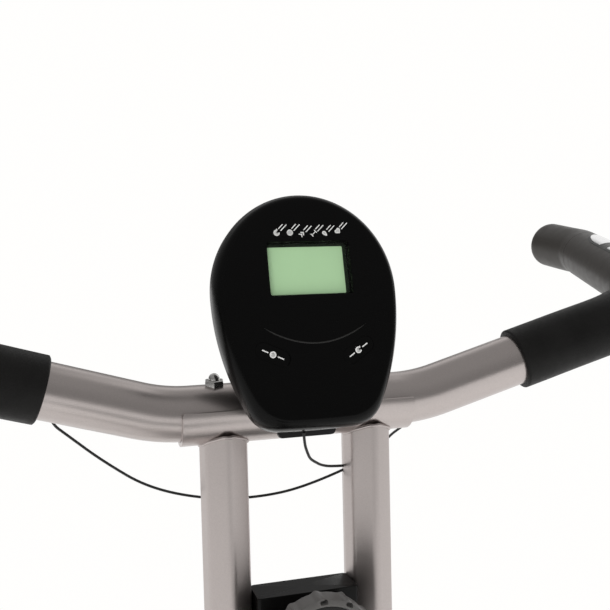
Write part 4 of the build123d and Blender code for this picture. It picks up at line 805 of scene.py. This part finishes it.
def post_outline(s, inset, nose, flank, steps=6):
    """Eight-sided outline, deeper than wide, moved in by the inset.  Each corner becomes an arc tangent to
    both of its sides: small at the front and rear corners, larger at the six others."""
    across, along = POST_SHOULDER
    right = np.array([(0, -s.post_half_depth), (across, -along), (s.post_half_width, 0), (across, along)])
    corners = np.concatenate([right, -right])
    points = []
    for k, corner in enumerate(corners):
        into, out = unit(corners[k - 1] - corner), unit(corners[(k + 1) % 8] - corner)
        half = np.arccos(into @ out) / 2
        radius = nose if k in (0, 4) else flank
        centre = corner + unit(into + out) * (inset + radius) / sin(half)
        first = corner + unit(into + out) * inset / sin(half) + into * radius / tan(half) - centre
        start = atan2(first[1], first[0])
        for turn in np.linspace(0, pi - 2 * half, steps):
            points.append(centre + radius * np.array([cos(start + turn), sin(start + turn)]))
    return np.array(points)


class BIKE_OT_posts(bpy.types.Operator):
    """Two leaning eight-sided tubes, coped to the cradle and welded to it"""

    bl_idname = "bike.posts"
    bl_label = "Posts"

    def execute(self, context):
        s = context.scene.bike_sizes
        lean = s.post_lean
        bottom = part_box("left_post")[0].z
        cope = s.bar_diameter / 2 + 2.5 * MM
        outer = post_outline(s, 0, 5.0 * MM, 5.5 * MM)
        inner = post_outline(s, POST_WALL, 3.0 * MM, 3.0 * MM)
        ledge = post_outline(s, 6.5 * MM, 1.0 * MM, 2.0 * MM)

        def rows(outline, hand, lift):
            """Foot ring on the foot plate and top ring on the cradle, in the posts' own leaning axes."""
            forward = outline[:, 1]
            top = np.minimum(POST_TOP, -np.sqrt(np.maximum(cope**2 - forward**2, 0))) + lift
            low = (bottom - BAR_MIDDLE[2] + forward * sin(lean)) / cos(lean)
            result = []
            for share in (0.0, 0.5, 0.9, 1.0):
                along = low + (top - low) * share
                result.append(np.stack([outline[:, 0] + hand * s.post_spacing / 2,
                                        BAR_MIDDLE[1] + forward * cos(lean) + along * sin(lean),
                                        BAR_MIDDLE[2] - forward * sin(lean) + along * cos(lean)], axis=-1))
            return result

        for hand, name in ((-1, "left_post"), (1, "right_post")):
            inside = rows(ledge, hand, 0)[-1:] + rows(inner, hand, 0)[-2::-1]
            shell = outward(lattice(np.array(rows(outer, hand, 0) + inside), along=True))
            edge = np.array(rows(outer, hand, -0.2 * MM)[-1])
            closed = np.concatenate([edge[-1:], edge, edge[:1]])
            step = unit(closed[2:] - closed[:-2])
            middle = edge.mean(axis=0)
            away = edge - middle
            away = unit(away - np.einsum("ij,ij->i", away, step)[:, None] * step)
            other = np.cross(step, away)
            turn = full_turn(10)
            wobble = 1.0 * MM * (1 + 0.12 * np.sin(np.arange(len(edge)) * 1.9))[:, None, None]
            bead = edge[:, None] + wobble * hoop(turn, away, other)
            weld = outward(lattice(bead, along=True))
            build(name + "_tube", [shell, weld], "post_paint", "frame", (name,), 25)
        return {"FINISHED"}


# ------------------------------------------------------------------ grips and pulse sensors
class BIKE_OT_grips(bpy.types.Operator):
    """Foam sleeves over the arms and closed foam ends over the horns"""

    bl_idname = "bike.grips"
    bl_label = "Foam grips"

    def execute(self, context):
        s = context.scene.bike_sizes
        bend, horn, slight, tip = bar_corners(s)
        sensor_start, sensor_end = horn_places(s)
        arm = arm_direction(s)
        first = bend + arm * (s.foam_start - s.bar_straight) / arm[0]
        columns, radius = 96, s.foam_diameter / 2
        angle = full_turn(columns)[None]

        def sleeve(path, nose_start, nose_end, seed):
            """Radius grid: the sleeve's own radius with a little unevenness, rolled over at the ends."""
            length = travelled(path)[:, None]
            grid = radius + ripple(length, angle, 0.14 * MM, seed)
            for distance, roll in ((length, nose_start), (length[-1] - length, nose_end)):
                inside = np.clip(distance / roll, 0, 1)
                grid = grid - roll * (1 - np.sqrt(1 - (1 - inside) ** 2))
            return grid

        path = rounded([first, horn, sensor_start], [s.horn_bend], 0.8 * MM)
        grid = sleeve(path, 1.1 * MM, 1.1 * MM, 4)
        ends = path[0] + (path[1] - path[0]) * 0.02, path[-1]
        main = tube(path, grid, columns, start=ends[0], end=ends[1])
        nose = rounded([sensor_end, slight, tip + TIP * 4 * MM], [s.tip_bend], 0.7 * MM)
        end = tube(nose, sleeve(nose, 0.6 * MM, 11.5 * MM, 9), columns)
        for name, skin, node, look in (("foam_sleeves", main, "foam_grips", "hand_foam"),
                                       ("horn_foam", end, "horn_sleeves", "horn_rubber")):
            piece = build(name, both_hands([skin]), look, "frame", (node,), 50)
        return {"FINISHED"}


class BIKE_OT_pulse(bpy.types.Operator):
    """Pulse sensors: moulded sleeve with a near-black sheet on it, painted shade where the plates sit sunk, and on
    that sheet two polished plates one behind the other
    """

    bl_idname = "bike.pulse"
    bl_label = "Pulse sensors"

    def execute(self, context):
        s = context.scene.bike_sizes
        start, _ = horn_places(s)
        radius, hole, length, lip = s.foam_diameter / 2 + 0.15 * MM, s.bar_diameter / 2, s.housing_length, 0.2 * MM
        profile = [(hole, 0.1 * MM), (radius - lip, 0.1 * MM), (radius, lip), (radius, length - lip),
                   (radius - lip, length - 0.1 * MM), (hole, length - 0.1 * MM)]
        shell = turned(profile, start, HORN, 96, along=True)
        build("pulse_sleeves", both_hands([shell]), "horn_rubber", "frame",
              ("pulse_housings",), 30)
        # distances back from the slight bend, and the length of the pointed end on each side
        far, near, taper = (28 * MM, 70 * MM), (84.5 * MM, 122.5 * MM), 34 * MM
        # near-black sheet just over the sleeve, round and between the plates: painted shade of the hollow the plates
        # sit in
        hollow_shade = self.plate(s, (far[0], near[1]), (taper, taper), 2.4 * MM, radius + 0.10 * MM)
        build("pulse_hollow_shade", both_hands([hollow_shade]), "shaded_black_plastic", "frame", (), 40)
        plates = [self.plate(s, far, (taper, 0), 0.0, radius + 0.45 * MM),
                  self.plate(s, near, (0, taper), 0.0, radius + 0.45 * MM)]
        build("pulse_contacts", both_hands(plates), "sensor_chrome", "frame", ("pulse_plates",), 40)
        return {"FINISHED"}

    def plate(self, s, span, tapers, growth, radius):
        """Curved plate: u runs along the horn and v round it.  A tapered end is half an ellipse across v, a
        plain end is straight with small round corners, and the rim is rolled down."""
        across = unit(np.cross(HORN, UP))
        above = np.cross(across, HORN)
        slight = bar_corners(s)[2]
        u, v = np.linspace(0, 1, 61)[:, None], np.sin(np.linspace(-pi / 2, pi / 2, 81))[None, :]
        half = radians(34) + growth / radius
        edge = (1 - np.abs(v)) * half * radius
        corner = 2.5 * MM
        round_off = rolled(edge, corner)
        point = 1 - np.sqrt(1 - v**2)
        first = span[0] - growth + (tapers[0] * point if tapers[0] else round_off)
        last = span[1] + growth - (tapers[1] * point if tapers[1] else round_off)
        distance = first + (last - first) * u
        turn = radians(80) + half * v + 0 * u
        rim = np.minimum(np.minimum(distance - first, last - distance), edge)
        roll = 0.6 * MM
        drop = rolled(rim, roll)

        def sheet(level):
            return (slight - distance[..., None] * HORN + (level * np.cos(turn))[..., None] * across
                    + (level * np.sin(turn))[..., None] * above)

        loop = np.concatenate([sheet(radius - drop), sheet(radius - 1.2 * MM + 0 * drop)[:, ::-1]], axis=1)
        return capped(loop)


# ------------------------------------------------------------------ console
KEYS = {"mode": (-24.0 * MM, radians(-26.0)), "reset": (24.0 * MM, radians(33.0))}
KEY_DOWN = -43.8 * MM
WINDOW_MIDDLE = [1.1 * MM, 2.8 * MM]  # across and up from the middle of the display


class BIKE_OT_console(bpy.types.Operator):
    """Console mouldings: the front with its window and key wells, and the back with its door"""

    bl_idname = "bike.console"
    bl_label = "Console"

    def execute(self, context):
        s = context.scene.bike_sizes
        seam, band, face, bevel = -14.0 * MM, -8.5 * MM, FACE, 6.0 * MM
        turn = np.linspace(0, pi / 2, 14)
        rings = [(0.9 * MM, seam), (0.25 * MM, seam + 0.15 * MM), (0.0, seam + 0.6 * MM), (0.0, (seam + band) / 2)]
        rings += [(bevel * (1 - cos(t)), band + (face - band) * sin(t)) for t in turn]
        rings += [(bevel + inward * MM, face + rise * MM) for inward, rise in ((4, 0.12), (12, 0.3), (24, 0.4))]
        rows = egg_rows(s, rings)
        flat = rows[-1].mean(axis=0) + [0, 0, 0.02 * MM]
        shell = outward(lattice(console_place(s, np.array(rows)), start="mean", end=console_place(s, flat)))
        front = build("console_front", [shell], "console_plastic", "frame",
                      ("console_front_shell",), 30)
        window = box_outline(47.2 * MM, 30.0 * MM, 1.6 * MM) + WINDOW_MIDDLE
        cutters = [prism(s, window, [-0.6 * MM, face - 0.5 * MM, face + 3 * MM], [1.3 * MM, 0.5 * MM, -1.0 * MM])]
        for out, slant in KEYS.values():
            well = slot_outline(20.1 * MM, 9.1 * MM, (out, KEY_DOWN), slant)
            cutters.append(prism(s, well, [face - 3 * MM, face + 3 * MM]))
        cut(front, cutters)
        smooth(front, 30)

        rear = -28.6 * MM
        rear_rings = [(0.9 * MM, seam - 0.02 * MM), (0.45 * MM, seam - 0.2 * MM), (0.6 * MM, seam - 0.8 * MM)]
        shoulder = seam - 0.8 * MM
        rear_rings += [(0.6 * MM + 8.0 * MM * (1 - cos(t)) ** 0.8, shoulder + (rear - shoulder) * sin(t) ** 0.9)
                       for t in turn[1:]]
        back = capped(console_place(s, np.array(egg_rows(s, rear_rings))))
        rear_piece = build("console_back", [back], "soft_black_plastic", "frame",
                           ("console_rear_shell",), 30)
        door = box_outline(34.6 * MM, 44.6 * MM, 3 * MM) + [0, 12 * MM]
        cut(rear_piece, [prism(s, door, [rear - 3 * MM, rear + 2.4 * MM])])
        smooth(rear_piece, 30)
        return {"FINISHED"}


class BIKE_OT_console_face(bpy.types.Operator):
    """Display, keys, crease and plain marks on the console face"""

    bl_idname = "bike.console_face"
    bl_label = "Console face"

    def execute(self, context):
        s = context.scene.bike_sizes
        face = FACE
        screen = prism(s, box_outline(43.0 * MM, 26.6 * MM, 0.8 * MM) + [0, 2.1 * MM], [-2.4 * MM, -0.35 * MM])
        # dark green rim round the screen, wider at the top and on the right-hand side: painted shade where the
        # window's wall shades the screen
        screen_shade_rim = prism(s, box_outline(46.4 * MM, 29.2 * MM, 1.2 * MM) + WINDOW_MIDDLE, [-1.2 * MM, -0.5 * MM])
        build("display_shade_rim", [screen_shade_rim], "screen_shade_green", "frame", (), 30)
        pane = prism(s, box_outline(47.0 * MM, 29.8 * MM, 1.5 * MM) + WINDOW_MIDDLE,
                     [face - 1.3 * MM, face - 0.5 * MM])
        build("display_window", [pane], "screen_glass", "frame", ("console_lens",), 30)
        build("display_screen", [screen], "liquid_crystal", "frame", ("display",), 30)

        for key, (out, slant) in KEYS.items():
            outline = slot_outline(20.0 * MM, 9.0 * MM, (out, KEY_DOWN), slant)
            levels = [face - 2.0 * MM, face + 0.06 * MM, face + 0.12 * MM, face + 0.18 * MM, face + 0.26 * MM]
            insets = [0.0, 0.0, 0.10 * MM, 1.2 * MM, 3.0 * MM]
            cap = prism(s, outline, levels, insets)
            build(key + "_key_cap", [cap], "console_plastic", key + "_key",
                  (key + "_button",), 30)

        # crease: a low ridge along an arc that hangs under the display, drawn in a lighter plastic than the face as a
        # painted highlight along the crease
        share = np.linspace(-1, 1, 90)
        line = np.stack([1.0 * MM + 28.8 * MM * share, -38.7 * MM + 9.3 * MM * np.abs(share) ** 2.0,
                         np.full(90, face + 0.30 * MM)], axis=-1)
        width = 0.42 * MM * (1 - np.abs(share) ** 6) + 0.05 * MM
        turn = full_turn(12)
        step = unit(np.gradient(line, axis=0))
        side = np.stack([-step[:, 1], step[:, 0], np.zeros(90)], axis=-1)
        ridge = line[:, None] + (width[:, None] * np.cos(turn))[..., None] * side[:, None]
        ridge[..., 2] += 0.45 * MM * np.sin(turn)[None]
        crease = capped(console_place(s, ridge))
        build("face_crease_highlight", [crease], "soft_black_plastic", "frame")
        build("face_marks", self.marks(s, face), "white_print", "frame", (), 60)
        return {"FINISHED"}

    def marks(self, s, face):
        """Small signs that stand for the functions: each is a few strokes, and a stroke is a flat bar with
        round ends along a line of points."""
        def stroke(points, place, slant, size, width=0.55 * MM):
            points = np.asarray(points, float) * size
            turn = np.array([[cos(slant), sin(slant)], [-sin(slant), cos(slant)]])
            points = points @ turn + np.asarray(place)
            step = unit(np.gradient(points, axis=0))
            side = np.stack([-step[:, 1], step[:, 0]], axis=-1) * width / 2
            edge = np.concatenate([points + side, (points - side)[::-1]])
            height = np.full((len(edge), 1), face + 0.1 * MM)
            rows = [np.column_stack([edge, height]), np.column_stack([edge, height + 0.42 * MM])]
            return capped(console_place(s, np.array(rows)))

        def circle(first=0.0, last=2 * pi):
            return on_circle(np.linspace(first, last, 24))

        heart = np.linspace(0, 2 * pi, 40)
        waves = sum(size * np.cos(turns * heart) for turns, size in ((1, 13), (2, -5), (3, -2), (4, -1)))
        heart = np.stack([np.sin(heart) ** 3, waves / 16], axis=-1)
        drop = np.linspace(0, 2 * pi, 30)
        drop = np.stack([0.75 * np.sin(drop) * np.sin(drop / 2) ** 1.2, -np.cos(drop)], axis=-1)
        signs = [
            [circle(0.5, 5.6), [(0.45, 0.75), (0.95, 0.45), (1.0, 1.1)]],
            [circle(), [(0, 0.62), (0, 0), (0.45, -0.2)]],
            [[(-0.9, -0.8), (0.0, 0.0), (-0.9, 0.8)], [(0.05, -0.8), (0.95, 0.0), (0.05, 0.8)]],
            [[(-1, -0.7), (-1, 0.7)], [(-0.7, 0), (0.7, 0)], [(1, -0.7), (1, 0.7)]],
            [drop],
            [heart],
        ]
        skins = []
        places = ((-14.2, 24.7), (-6.7, 24.7), (0.1, 23.8), (6.9, 24.1), (13.3, 23.8), (20.9, 25.2))
        slant = radians(44)
        direction = np.array([cos(slant), sin(slant)])
        for sign, place in zip(signs, places):
            centre = np.array(place) * MM
            for points in sign:
                skins.append(stroke(points, centre - direction * 2.7 * MM, slant, 1.5 * MM, 0.46 * MM))
            for level in (-0.55, 0.55):
                bar = [(-0.2, level), (1.2, level), (3.1 - 0.9 * (level > 0), level)]
                skins.append(stroke(bar, centre, slant, 1.5 * MM, 0.5 * MM))
        arrow = [circle(0.6, 5.7), [(0.5, 0.65), (0.95, 0.35), (1.15, 0.95)]]
        for key, sign in (("mode", [circle()]), ("reset", arrow)):
            out, turn = KEYS[key]
            direction = np.array([cos(turn), sin(turn)])
            centre = np.array([out, KEY_DOWN])
            for points in sign:
                skins.append(stroke(points, centre, turn, 1.5 * MM, 0.6 * MM))
            for side in (-1, 1):
                bar = [(-1.2, 0), (0.0, 0), (1.2, 0)]
                skins.append(stroke(bar, centre + side * direction * 4.6 * MM, turn, 1.5 * MM, 0.6 * MM))
        return skins


# ------------------------------------------------------------------ tension knob
KNOB_DOWN, BOX_FRONT = 126.7 * MM, 20 * MM  # knob's axis down the posts, and the box's face in front of them
# (distance up the posts from the bar's axis, inset) of the box's rings, in mm
BOX_RINGS = ((-183.2, 0.6), (-182.6, 0.0), (-106.0, 0.0), (-105.43, 0.23), (-105.2, 0.8))
# (radius, ridge height, distance from the box) in mm: collar, back, ridged side, rim and dish wall
KNOB_RIM = (
    (9.0, 0, 6.4), (9.0, 0, 18.0), (10.0, 0, 19.0), (27.0, 0.6, 19.0), (28.8, 1.2, 19.5), (29.7, 1.25, 21.0),
    (29.7, 1.25, 31.0), (29.3, 1.2, 32.4), (28.2, 0.9, 33.5), (27.6, 0.4, 33.9), (27.0, 0, 34.1),
    (26.6, 0, 33.9), (26.3, 0, 33.3), (26.1, 0, 31.9), (8.0, 0, 31.8),
)
KNOB_DISH = (
    (25.6, 0, 31.6), (25.6, 0, 31.95), (25.1, 0, 32.1), (9.0, 0, 32.0), (8.2, 0, 32.3), (7.9, 0, 33.2),
    (7.0, 0, 33.7), (3.0, 0, 33.9),
)
SLOT_RADIUS, SLOT_SIZE = 28.6 * MM, (4.6 * MM, 2.2 * MM)


class BIKE_OT_tension(bpy.types.Operator):
    """Knob of the brake: narrow finger ridges, a raised rim with small slots and a darker dished middle"""

    bl_idname = "bike.tension"
    bl_label = "Tension knob"

    def execute(self, context):
        s = context.scene.bike_sizes
        lean = s.post_lean
        axis = np.array([0, -cos(lean), sin(lean)])
        x_axis, y_axis = np.array([1.0, 0, 0]), np.array([0, sin(lean), cos(lean)])
        origin = BAR_MIDDLE - KNOB_DOWN * y_axis + BOX_FRONT * axis
        # box under the bar, from 20 mm in front of the posts' axes to 2 mm behind them
        outline = box_outline(60.4 * MM, 22.0 * MM, 2.0 * MM) + [0, -9.0 * MM]
        middle = outline.mean(axis=0)
        rows = []
        for along, inset in BOX_RINGS:
            away = outline - middle
            ring_points = middle + away * (1 - inset * MM / np.linalg.norm(away, axis=1, keepdims=True))
            rows.append(BAR_MIDDLE + ring_points[:, :1] * x_axis - ring_points[:, 1:] * axis + along * MM * y_axis)
        box = capped(rows)
        # the box is drawn in the near-black shaded copy of the black plastic: painted shade on its front
        build("tension_box_shell", [box], "shaded_black_plastic", "frame", ("tension_box",), 30)
        angle = full_turn(360)
        wave = np.clip(np.cos(s.knob_lobes * (angle - radians(5))), 0, 1) ** 2.5

        def ring(radius, ridge, distance):
            """Ring of the knob: a circle with ridges, at a distance in front of the box."""
            reach = (radius + ridge * wave)[:, None] * MM
            circle = np.cos(angle)[:, None] * x_axis + np.sin(angle)[:, None] * y_axis
            return origin + reach * circle + distance * MM * axis

        body = capped([ring(*row) for row in KNOB_RIM])
        knob = build("tension_knob_cap", [body], "knob_plastic", "knob", ("tension_knob",), 28)
        slots = []
        for k in range(s.knob_lobes):
            spoke = radians(5) + (k - 0.09) * 2 * pi / s.knob_lobes
            out = cos(spoke) * x_axis + sin(spoke) * y_axis
            side = np.cross(axis, out)
            outline = slot_outline(*SLOT_SIZE, (0, 0), 0.0, 24)
            base = origin + out * SLOT_RADIUS
            flat = base + outline[:, :1] * side + outline[:, 1:] * out
            slots.append(capped([flat + level * MM * axis for level in (30.2, 35.5)]))
        cut(knob, slots)
        smooth(knob, 28)
        disc = capped([ring(*row) for row in KNOB_DISH])
        build("tension_knob_dish", [disc], "soft_black_plastic", "knob", (), 28)
        return {"FINISHED"}


# ------------------------------------------------------------------ saddle
class BIKE_OT_saddle(bpy.types.Operator):
    """Saddle cushion: a crowned pear shape that the cloth solver swells, with a seam round its edge"""

    bl_idname = "bike.saddle"
    bl_label = "Saddle cushion"

    def execute(self, context):
        low, high = (np.array(corner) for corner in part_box("saddle_cushion"))
        centre = (low + high) / 2
        half, length, rise = (high - low) / 2
        angle = full_turn(128)
        outline = self.pear(low, high, angle)
        rings = [(0.90, 0.0), (0.965, 0.02), (0.985, 0.10), (0.99, 0.28), (0.975, 0.48), (0.93, 0.66), (0.85, 0.80),
                 (0.74, 0.885), (0.58, 0.935), (0.40, 0.955), (0.20, 0.965)]
        middle = np.array([centre[0], centre[1] - 0.02])
        rows = []
        for grow, level in rings:
            ring = middle + (outline - middle) * grow
            forward = (ring[:, 1] - low[1]) / (2 * length)
            groove = 0.008 * np.exp(-((ring[:, 0] / 0.020) ** 2))
            dish = groove * np.clip(level - 0.5, 0, 1) * 2 * np.clip(forward * 1.6, 0, 1)
            drop = 0.012 * np.clip(forward - 0.55, 0, 1) * 2 * level
            rows.append(np.column_stack([ring, low[2] + 2 * rise * level - dish - drop]))
        skin = capped(rows)
        piece = build("saddle_pad", [skin], "saddle_vinyl", "seat", ("saddle_cushion",), 60)
        self.swell(piece, cap=0.006)
        smooth = piece.modifiers.new("even", "SUBSURF")
        smooth.levels = smooth.render_levels = 1

        # piped seam along the lower edge
        path = np.column_stack([middle + (outline - middle) * 0.985, np.full(128, low[2] + 2 * rise * 0.12)])
        step = unit(np.roll(path, -1, axis=0) - np.roll(path, 1, axis=0))
        side = np.stack([step[:, 1], -step[:, 0], np.zeros(128)], axis=-1)
        turn = full_turn(12)
        pipe = path[:, None] + 1.7 * MM * hoop(turn, side, np.broadcast_to(UP, side.shape))
        build("saddle_piping", [outward(lattice(pipe, along=True))], "saddle_vinyl", "seat", (), 80)
        return {"FINISHED"}

    def pear(self, low, high, angle):
        """Outline of the saddle: the hull of two rear circles and a nose circle, read at even angles from its
        middle by the greatest reach of the three circles and the lines that touch them."""
        rear_radius, nose_radius = 58 * MM, 32 * MM
        half = (high[0] - low[0]) / 2
        circles = [(hand * (half - rear_radius), low[1] + rear_radius, rear_radius) for hand in (1, -1)]
        circles.append((0.0, high[1] - nose_radius, nose_radius))
        normals = full_turn(1440)
        direction = on_circle(normals)
        support = np.max([direction @ np.array(c[:2]) + c[2] for c in circles], axis=0)
        middle = np.array([0.0, (low[1] + high[1]) / 2 - 0.02])
        offset = support - direction @ middle
        ray = on_circle(angle)
        facing = ray @ direction.T
        reach = np.where(facing > 0.02, offset[None] / np.maximum(facing, 0.02), np.inf).min(axis=1)
        return middle + reach[:, None] * ray

    def places(self, mesh):
        """Coordinates of a mesh's vertices."""
        flat = np.zeros(len(mesh.vertices) * 3)
        mesh.vertices.foreach_get("co", flat)
        return flat.reshape(-1, 3)

    def swell(self, piece, cap):
        """Remesh, inflate with the cloth solver for twenty frames, and keep each point within the cap."""
        scene = bpy.context.scene
        mesher = piece.modifiers.new("even", "REMESH")
        mesher.mode, mesher.voxel_size = "VOXEL", 0.0055
        start = evaluated(piece)
        piece.modifiers.clear()
        piece.data = start
        rest = self.places(start)
        group = piece.vertex_groups.new(name="seat")
        floor = np.nonzero(rest[:, 2] < rest[:, 2].min() + 0.006)[0]
        group.add([int(k) for k in floor], 1.0, "REPLACE")
        cloth = piece.modifiers.new("swell", "CLOTH")
        cloth.settings.use_pressure = True
        cloth.settings.uniform_pressure_force = 4.0
        cloth.settings.vertex_group_mass = "seat"
        cloth.settings.effector_weights.gravity = 0.0
        cloth.settings.tension_stiffness = cloth.settings.compression_stiffness = 25.0
        for number in range(1, 21):
            scene.frame_set(number)
        done = evaluated(piece)
        scene.frame_set(1)
        shift = self.places(done) - rest
        size = np.linalg.norm(shift, axis=1, keepdims=True)
        shift *= np.minimum(1, cap / np.maximum(size, 1e-9))
        piece.modifiers.clear()
        piece.vertex_groups.clear()
        start.vertices.foreach_set("co", (rest + shift).ravel())
        start.polygons.foreach_set("use_smooth", np.ones(len(start.polygons), bool))
        start.materials.clear()
        start.materials.append(finish("saddle_vinyl"))
        start.update()


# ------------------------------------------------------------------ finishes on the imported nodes
class BIKE_OT_finishes(bpy.types.Operator):
    """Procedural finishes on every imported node, by its material slot"""

    bl_idname = "bike.finishes"
    bl_label = "Finishes"

    def execute(self, context):
        slots = {row["node"]: row["material_slot"] for row in frame["record"]["subparts"]}
        for name, node in frame["nodes"].items():
            for place in node.material_slots:
                place.material = finish(SLOT_FINISHES[slots[name]])
        return {"FINISHED"}


# ------------------------------------------------------------------ studio
WHITE = (1.0, 0.995, 0.985, 1)
LAMPS = (  # name, place, size and power
    ("key_light", (-1.6, -1.4, 2.6), 1.8, 26.0),
    ("fill_light", (1.9, -0.9, 2.2), 1.6, 14.0),
    ("back_light", (0.4, 2.2, 2.5), 1.8, 14.0),
)
CAMERA_PLACE = BAR_MIDDLE + np.array([-0.133, -0.470, 0.1295])
CAMERA_AIM = (0.281, 0.949, -0.141)
LAMP_TARGET = (0.0, 0.1, 0.8)


class BIKE_OT_studio(bpy.types.Operator):
    """Pale floor, grey canopy for reflections, soft lights, white surroundings and the camera"""

    bl_idname = "bike.studio"
    bl_label = "Studio"

    def execute(self, context):
        scene = context.scene
        scene.view_settings.view_transform = "Standard"
        self.surroundings(scene)
        self.floor()
        self.canopy()
        for name, place, size, power in LAMPS:
            lamp = bpy.data.lights.new(name, "AREA")
            lamp.shape, lamp.size, lamp.energy = "DISK", size, power
            self.aim(linked(name, lamp), place, Vector(LAMP_TARGET) - Vector(place)).visible_glossy = False
        lens = bpy.data.cameras.new("camera")
        lens.sensor_width, lens.lens = 36.0, 50.16
        lens.clip_start, lens.clip_end = 0.01, 100.0
        scene.camera = self.aim(linked("camera", lens), CAMERA_PLACE, Vector(CAMERA_AIM))
        return {"FINISHED"}

    def aim(self, holder, place, direction):
        """Puts a lamp or the camera at a place and turns it in a direction."""
        holder.location = place
        holder.rotation_mode = "QUATERNION"
        holder.rotation_quaternion = direction.to_track_quat("-Z", "Y")
        return holder

    def surroundings(self, scene):
        """White to camera, glossy and transmission rays, and a soft even light to all others."""
        scene.world, tree = cleared(bpy.data.worlds, "studio")
        light = node(tree, "Background", Color=(1.0, 0.99, 0.975, 1), Strength=0.38)
        seen = node(tree, "Background", Color=WHITE)
        mix = node(tree, "MixShader", in0=self.shown_rays(tree), in1=light.outputs[0], in2=seen.outputs[0])
        node(tree, "OutputWorld", Surface=mix.outputs[0])

    def shown_rays(self, tree):
        """1 for camera, glossy and transmission rays."""
        path = node(tree, "LightPath")
        total = path.outputs["Is Camera Ray"]
        for name in ("Is Glossy Ray", "Is Transmission Ray"):
            total = node(tree, "Math", {"operation": "MAXIMUM"}, in0=total, in1=path.outputs[name]).outputs[0]
        return total

    def disc(self, name, rows):
        """Open skin of the stage over rings of points, closed by a fan at its last ring."""
        vertices, faces = lattice(np.array(rows), end="mean")
        piece = mesh_object(name, vertices, faces)
        return piece

    def floor(self):
        """Round floor that takes the shadow and fades into the white surroundings."""
        angle = full_turn(96)
        ring = np.stack([np.cos(angle), np.sin(angle), 0 * angle], axis=-1)
        floor = self.disc("floor", [ring * 14.0, ring * 6.0, ring * 2.0])
        made, tree = cleared(bpy.data.materials, "pale_floor")
        place = node(tree, "TexCoord").outputs["Object"]
        reach = node(tree, "VectorMath", {"operation": "LENGTH"}, in0=place).outputs["Value"]
        fade = node(tree, "MapRange", From_Min=0.8, From_Max=1.8, Value=reach).outputs["Result"]
        grain = node(tree, "TexNoise", Scale=3.0, Vector=place).outputs["Fac"]
        paint = node(tree, "BsdfDiffuse", Color=mixed(tree, grain, (0.86, 0.855, 0.845, 1), (0.88, 0.875, 0.865, 1)))

        def glow(others, glossy):
            """White emission with one strength for reflections and another for all other rays."""
            ray = node(tree, "LightPath").outputs["Is Glossy Ray"]
            strength = node(tree, "MapRange", To_Min=others, To_Max=glossy, Value=ray).outputs["Result"]
            return node(tree, "Emission", Color=WHITE, Strength=strength).outputs[0]

        near = node(tree, "AddShader", in0=paint.outputs[0], in1=glow(0.03, 0.36))
        far = node(tree, "MixShader", in0=fade, in1=near.outputs[0], in2=glow(1.0, 0.95))
        bounce = node(tree, "Emission", Color=WHITE)
        lit = node(tree, "AddShader", in0=paint.outputs[0], in1=bounce.outputs[0])
        seen = node(tree, "MixShader", in0=self.shown_rays(tree), in1=lit.outputs[0], in2=far.outputs[0])
        node(tree, "OutputMaterial", Surface=seen.outputs[0])
        floor.data.materials.append(made)

    def canopy(self):
        """Grey ceiling and walls that only reflections see, so that metal keeps its darker upper half.  Two
        bright panels behind the bike, one high and one to the right, light the top rims."""
        angle = full_turn(64)
        rows = []
        for pitch in np.radians([-2.5, 5, 15, 35, 55, 75, 86]):
            ring = np.column_stack([on_circle(angle) * cos(pitch), np.full(64, sin(pitch))])
            rows.append(ring * 5.0 + [0, 0.1, 1.0])
        tent = self.disc("canopy", rows)
        tent.visible_camera = tent.visible_diffuse = tent.visible_transmission = tent.visible_shadow = False
        made, tree = cleared(bpy.data.materials, "canopy_grey")
        height = node(tree, "SeparateXYZ", in0=node(tree, "TexCoord").outputs["Object"])

        def band(axis, start, stop):
            """0 before start and 1 after stop, along an axis."""
            return node(tree, "MapRange", From_Min=start, From_Max=stop, Value=height.outputs[axis]).outputs["Result"]

        def combine(kind, first, second):
            return node(tree, "Math", {"operation": kind}, in0=first, in1=second).outputs[0]

        grey = mixed(tree, band("Z", 0.0, 5.0), (0.175, 0.173, 0.171, 1), (0.365, 0.361, 0.357, 1))
        panels = combine("MAXIMUM", combine("MULTIPLY", band("X", 1.6, 2.4), band("Y", 0.5, 1.5)),
                         combine("MULTIPLY", band("Z", 3.2, 3.8), band("Y", 2.6, 4.2)))
        shown = node(tree, "Emission", Color=mixed(tree, panels, grey, (0.96, 0.955, 0.945, 1)))
        node(tree, "OutputMaterial", Surface=shown.outputs[0])
        tent.data.materials.append(made)


# ------------------------------------------------------------------ sidebar and start
STEPS = (
    BIKE_OT_studio, BIKE_OT_wires, BIKE_OT_finishes, BIKE_OT_bar, BIKE_OT_cradle, BIKE_OT_posts, BIKE_OT_grips,
    BIKE_OT_pulse, BIKE_OT_console, BIKE_OT_console_face, BIKE_OT_tension, BIKE_OT_saddle,
)


class BIKE_PT_panel(bpy.types.Panel):
    """Sizes, colours and steps of the air bike"""

    bl_idname = "BIKE_PT_panel"
    bl_label = "Air bike"
    bl_space_type = "VIEW_3D"
    bl_region_type = "UI"
    bl_category = "Air bike"

    def draw(self, context):
        for group in (context.scene.bike_sizes, context.scene.bike_colours):
            box = self.layout.box()
            for name in group.bl_rna.properties.keys():
                if name not in ("rna_type", "name"):
                    box.prop(group, name)
        for step in STEPS:
            self.layout.operator(step.bl_idname)


CLASSES = (BikeSizes, BikeColours, *STEPS, BIKE_PT_panel)


def register():
    for kind in CLASSES:
        bpy.utils.register_class(kind)
    bpy.types.Scene.bike_sizes = PointerProperty(type=BikeSizes)
    bpy.types.Scene.bike_colours = PointerProperty(type=BikeColours)


def unregister():
    del bpy.types.Scene.bike_sizes
    del bpy.types.Scene.bike_colours
    for kind in reversed(CLASSES):
        bpy.utils.unregister_class(kind)


def main():
    """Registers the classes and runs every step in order."""
    register()
    for step in STEPS:
        group, name = step.bl_idname.split(".")
        getattr(getattr(bpy.ops, group), name)()
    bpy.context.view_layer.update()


if __name__ == "__main__":
    main()
